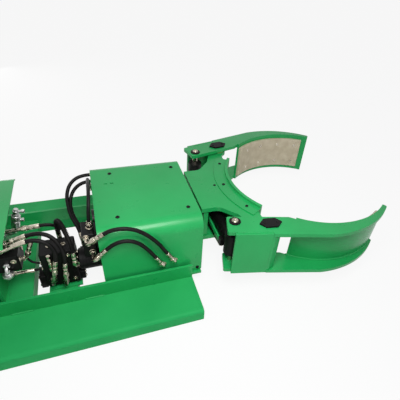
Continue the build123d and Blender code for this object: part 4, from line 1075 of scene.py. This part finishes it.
# Clamp cylinder: collars at the barrel's ends, and the bar that carries its ports
LEVER_X = arm_place(1, LEVER_U, LEVER_V, 0).x
COLLARS = ((90.5, 4.5), (-212, 6))
COLLAR_FORM = (31, 32.6, 1)
PORT_BAR = ((-174, -228, 204), (-166, 66, 226), 2)
collars = bmesh.new()
for collar_y, collar_l in COLLARS:
    add_stack(collars, (LEVER_X, collar_y, SPINDLE_Z), FAR_WAY, band(collar_l, *COLLAR_FORM))
finish_piece("barrel_collars", collars, "barrel", "black_paint")
port_bar = bmesh.new()
add_block(port_bar, *PORT_BAR)
finish_piece("port_bar", port_bar, "barrel", "green_paint")

for node_name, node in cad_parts.items():
    set_material(node, NODE_SLOTS.get(node_name, "green_paint"))

# Floor, backdrop and light. Lamps: place, target, width in metres, power in watts.
FLOOR_HALF = 12
FLOOR_TONE = (0.86, 0.86, 0.86, 1)
FLOOR_GLOW_SHARE = 0.9
WHITE = (1, 1, 1, 1)
ROOM_TONE = (0.97, 0.98, 1.0, 1)
ROOM_STRENGTH = 0.28
LAMPS = {
    "key": ((-0.05, -0.85, 1.4), (0, -0.05, 0.25), 0.6, 17),
    "fill": ((1.3, -1.9, 2.2), (0.2, 0, 0.25), 2.0, 4),
    "back": ((-1.5, 2.3, 0.8), (0, 0, 0.25), 1.6, 12),
}


def seen_directly(tree):
    """One for rays from the camera or from a mirror or glass, else zero."""
    path = add_node(tree, "ShaderNodeLightPath").outputs
    mirrored = combine(tree, "MAXIMUM", path["Is Glossy Ray"], path["Is Transmission Ray"])
    return combine(tree, "MAXIMUM", path["Is Camera Ray"], mirrored)


def make_floor():
    """A wide pale floor that keeps the object's soft shadow."""
    mesh = bpy.data.meshes.new("floor")
    corners = [(x * FLOOR_HALF, y * FLOOR_HALF, 0) for x, y in ((-1, -1), (1, -1), (1, 1), (-1, 1))]
    mesh.from_pydata(corners, [], [(0, 1, 2, 3)])
    floor = bpy.data.objects.new("floor", mesh)
    bpy.context.collection.objects.link(floor)
    material, tree, _ = start_material("floor_white")
    diffuse = add_node(tree, "ShaderNodeBsdfDiffuse", {"Color": FLOOR_TONE})
    glow = add_node(tree, "ShaderNodeEmission", {"Color": WHITE, "Strength": 1.0})
    share = combine(tree, "MULTIPLY", seen_directly(tree), FLOOR_GLOW_SHARE)
    mixed = add_node(tree, "ShaderNodeMixShader", {0: share, 1: diffuse.outputs[0], 2: glow.outputs[0]})
    output = add_node(tree, "ShaderNodeOutputMaterial")
    tree.links.new(mixed.outputs[0], output.inputs["Surface"])
    mesh.materials.append(material)


def make_world():
    """Soft pale surroundings that the camera sees as white."""
    world = bpy.data.worlds.new("studio")
    world.use_nodes = True
    tree = world.node_tree
    tree.nodes.clear()
    room = add_node(tree, "ShaderNodeBackground", {"Color": ROOM_TONE, "Strength": ROOM_STRENGTH})
    white = add_node(tree, "ShaderNodeBackground", {"Color": WHITE, "Strength": 1.0})
    mixed = add_node(tree, "ShaderNodeMixShader",
                     {0: seen_directly(tree), 1: room.outputs[0], 2: white.outputs[0]})
    output = add_node(tree, "ShaderNodeOutputWorld")
    tree.links.new(mixed.outputs[0], output.inputs["Surface"])
    bpy.context.scene.world = world


def area_light(name, where, target, size, power):
    """A soft square lamp that faces its target."""
    data = bpy.data.lights.new(name, "AREA")
    data.size = size
    data.energy = power
    lamp = bpy.data.objects.new(name, data)
    lamp.location = where
    lamp.rotation_euler = (Vector(target) - Vector(where)).to_track_quat("-Z", "Y").to_euler()
    bpy.context.collection.objects.link(lamp)


make_floor()
make_world()
for lamp_name, lamp in LAMPS.items():
    area_light(lamp_name, *lamp)
bpy.context.scene.view_settings.view_transform = "Standard"

bpy.context.view_layer.update()
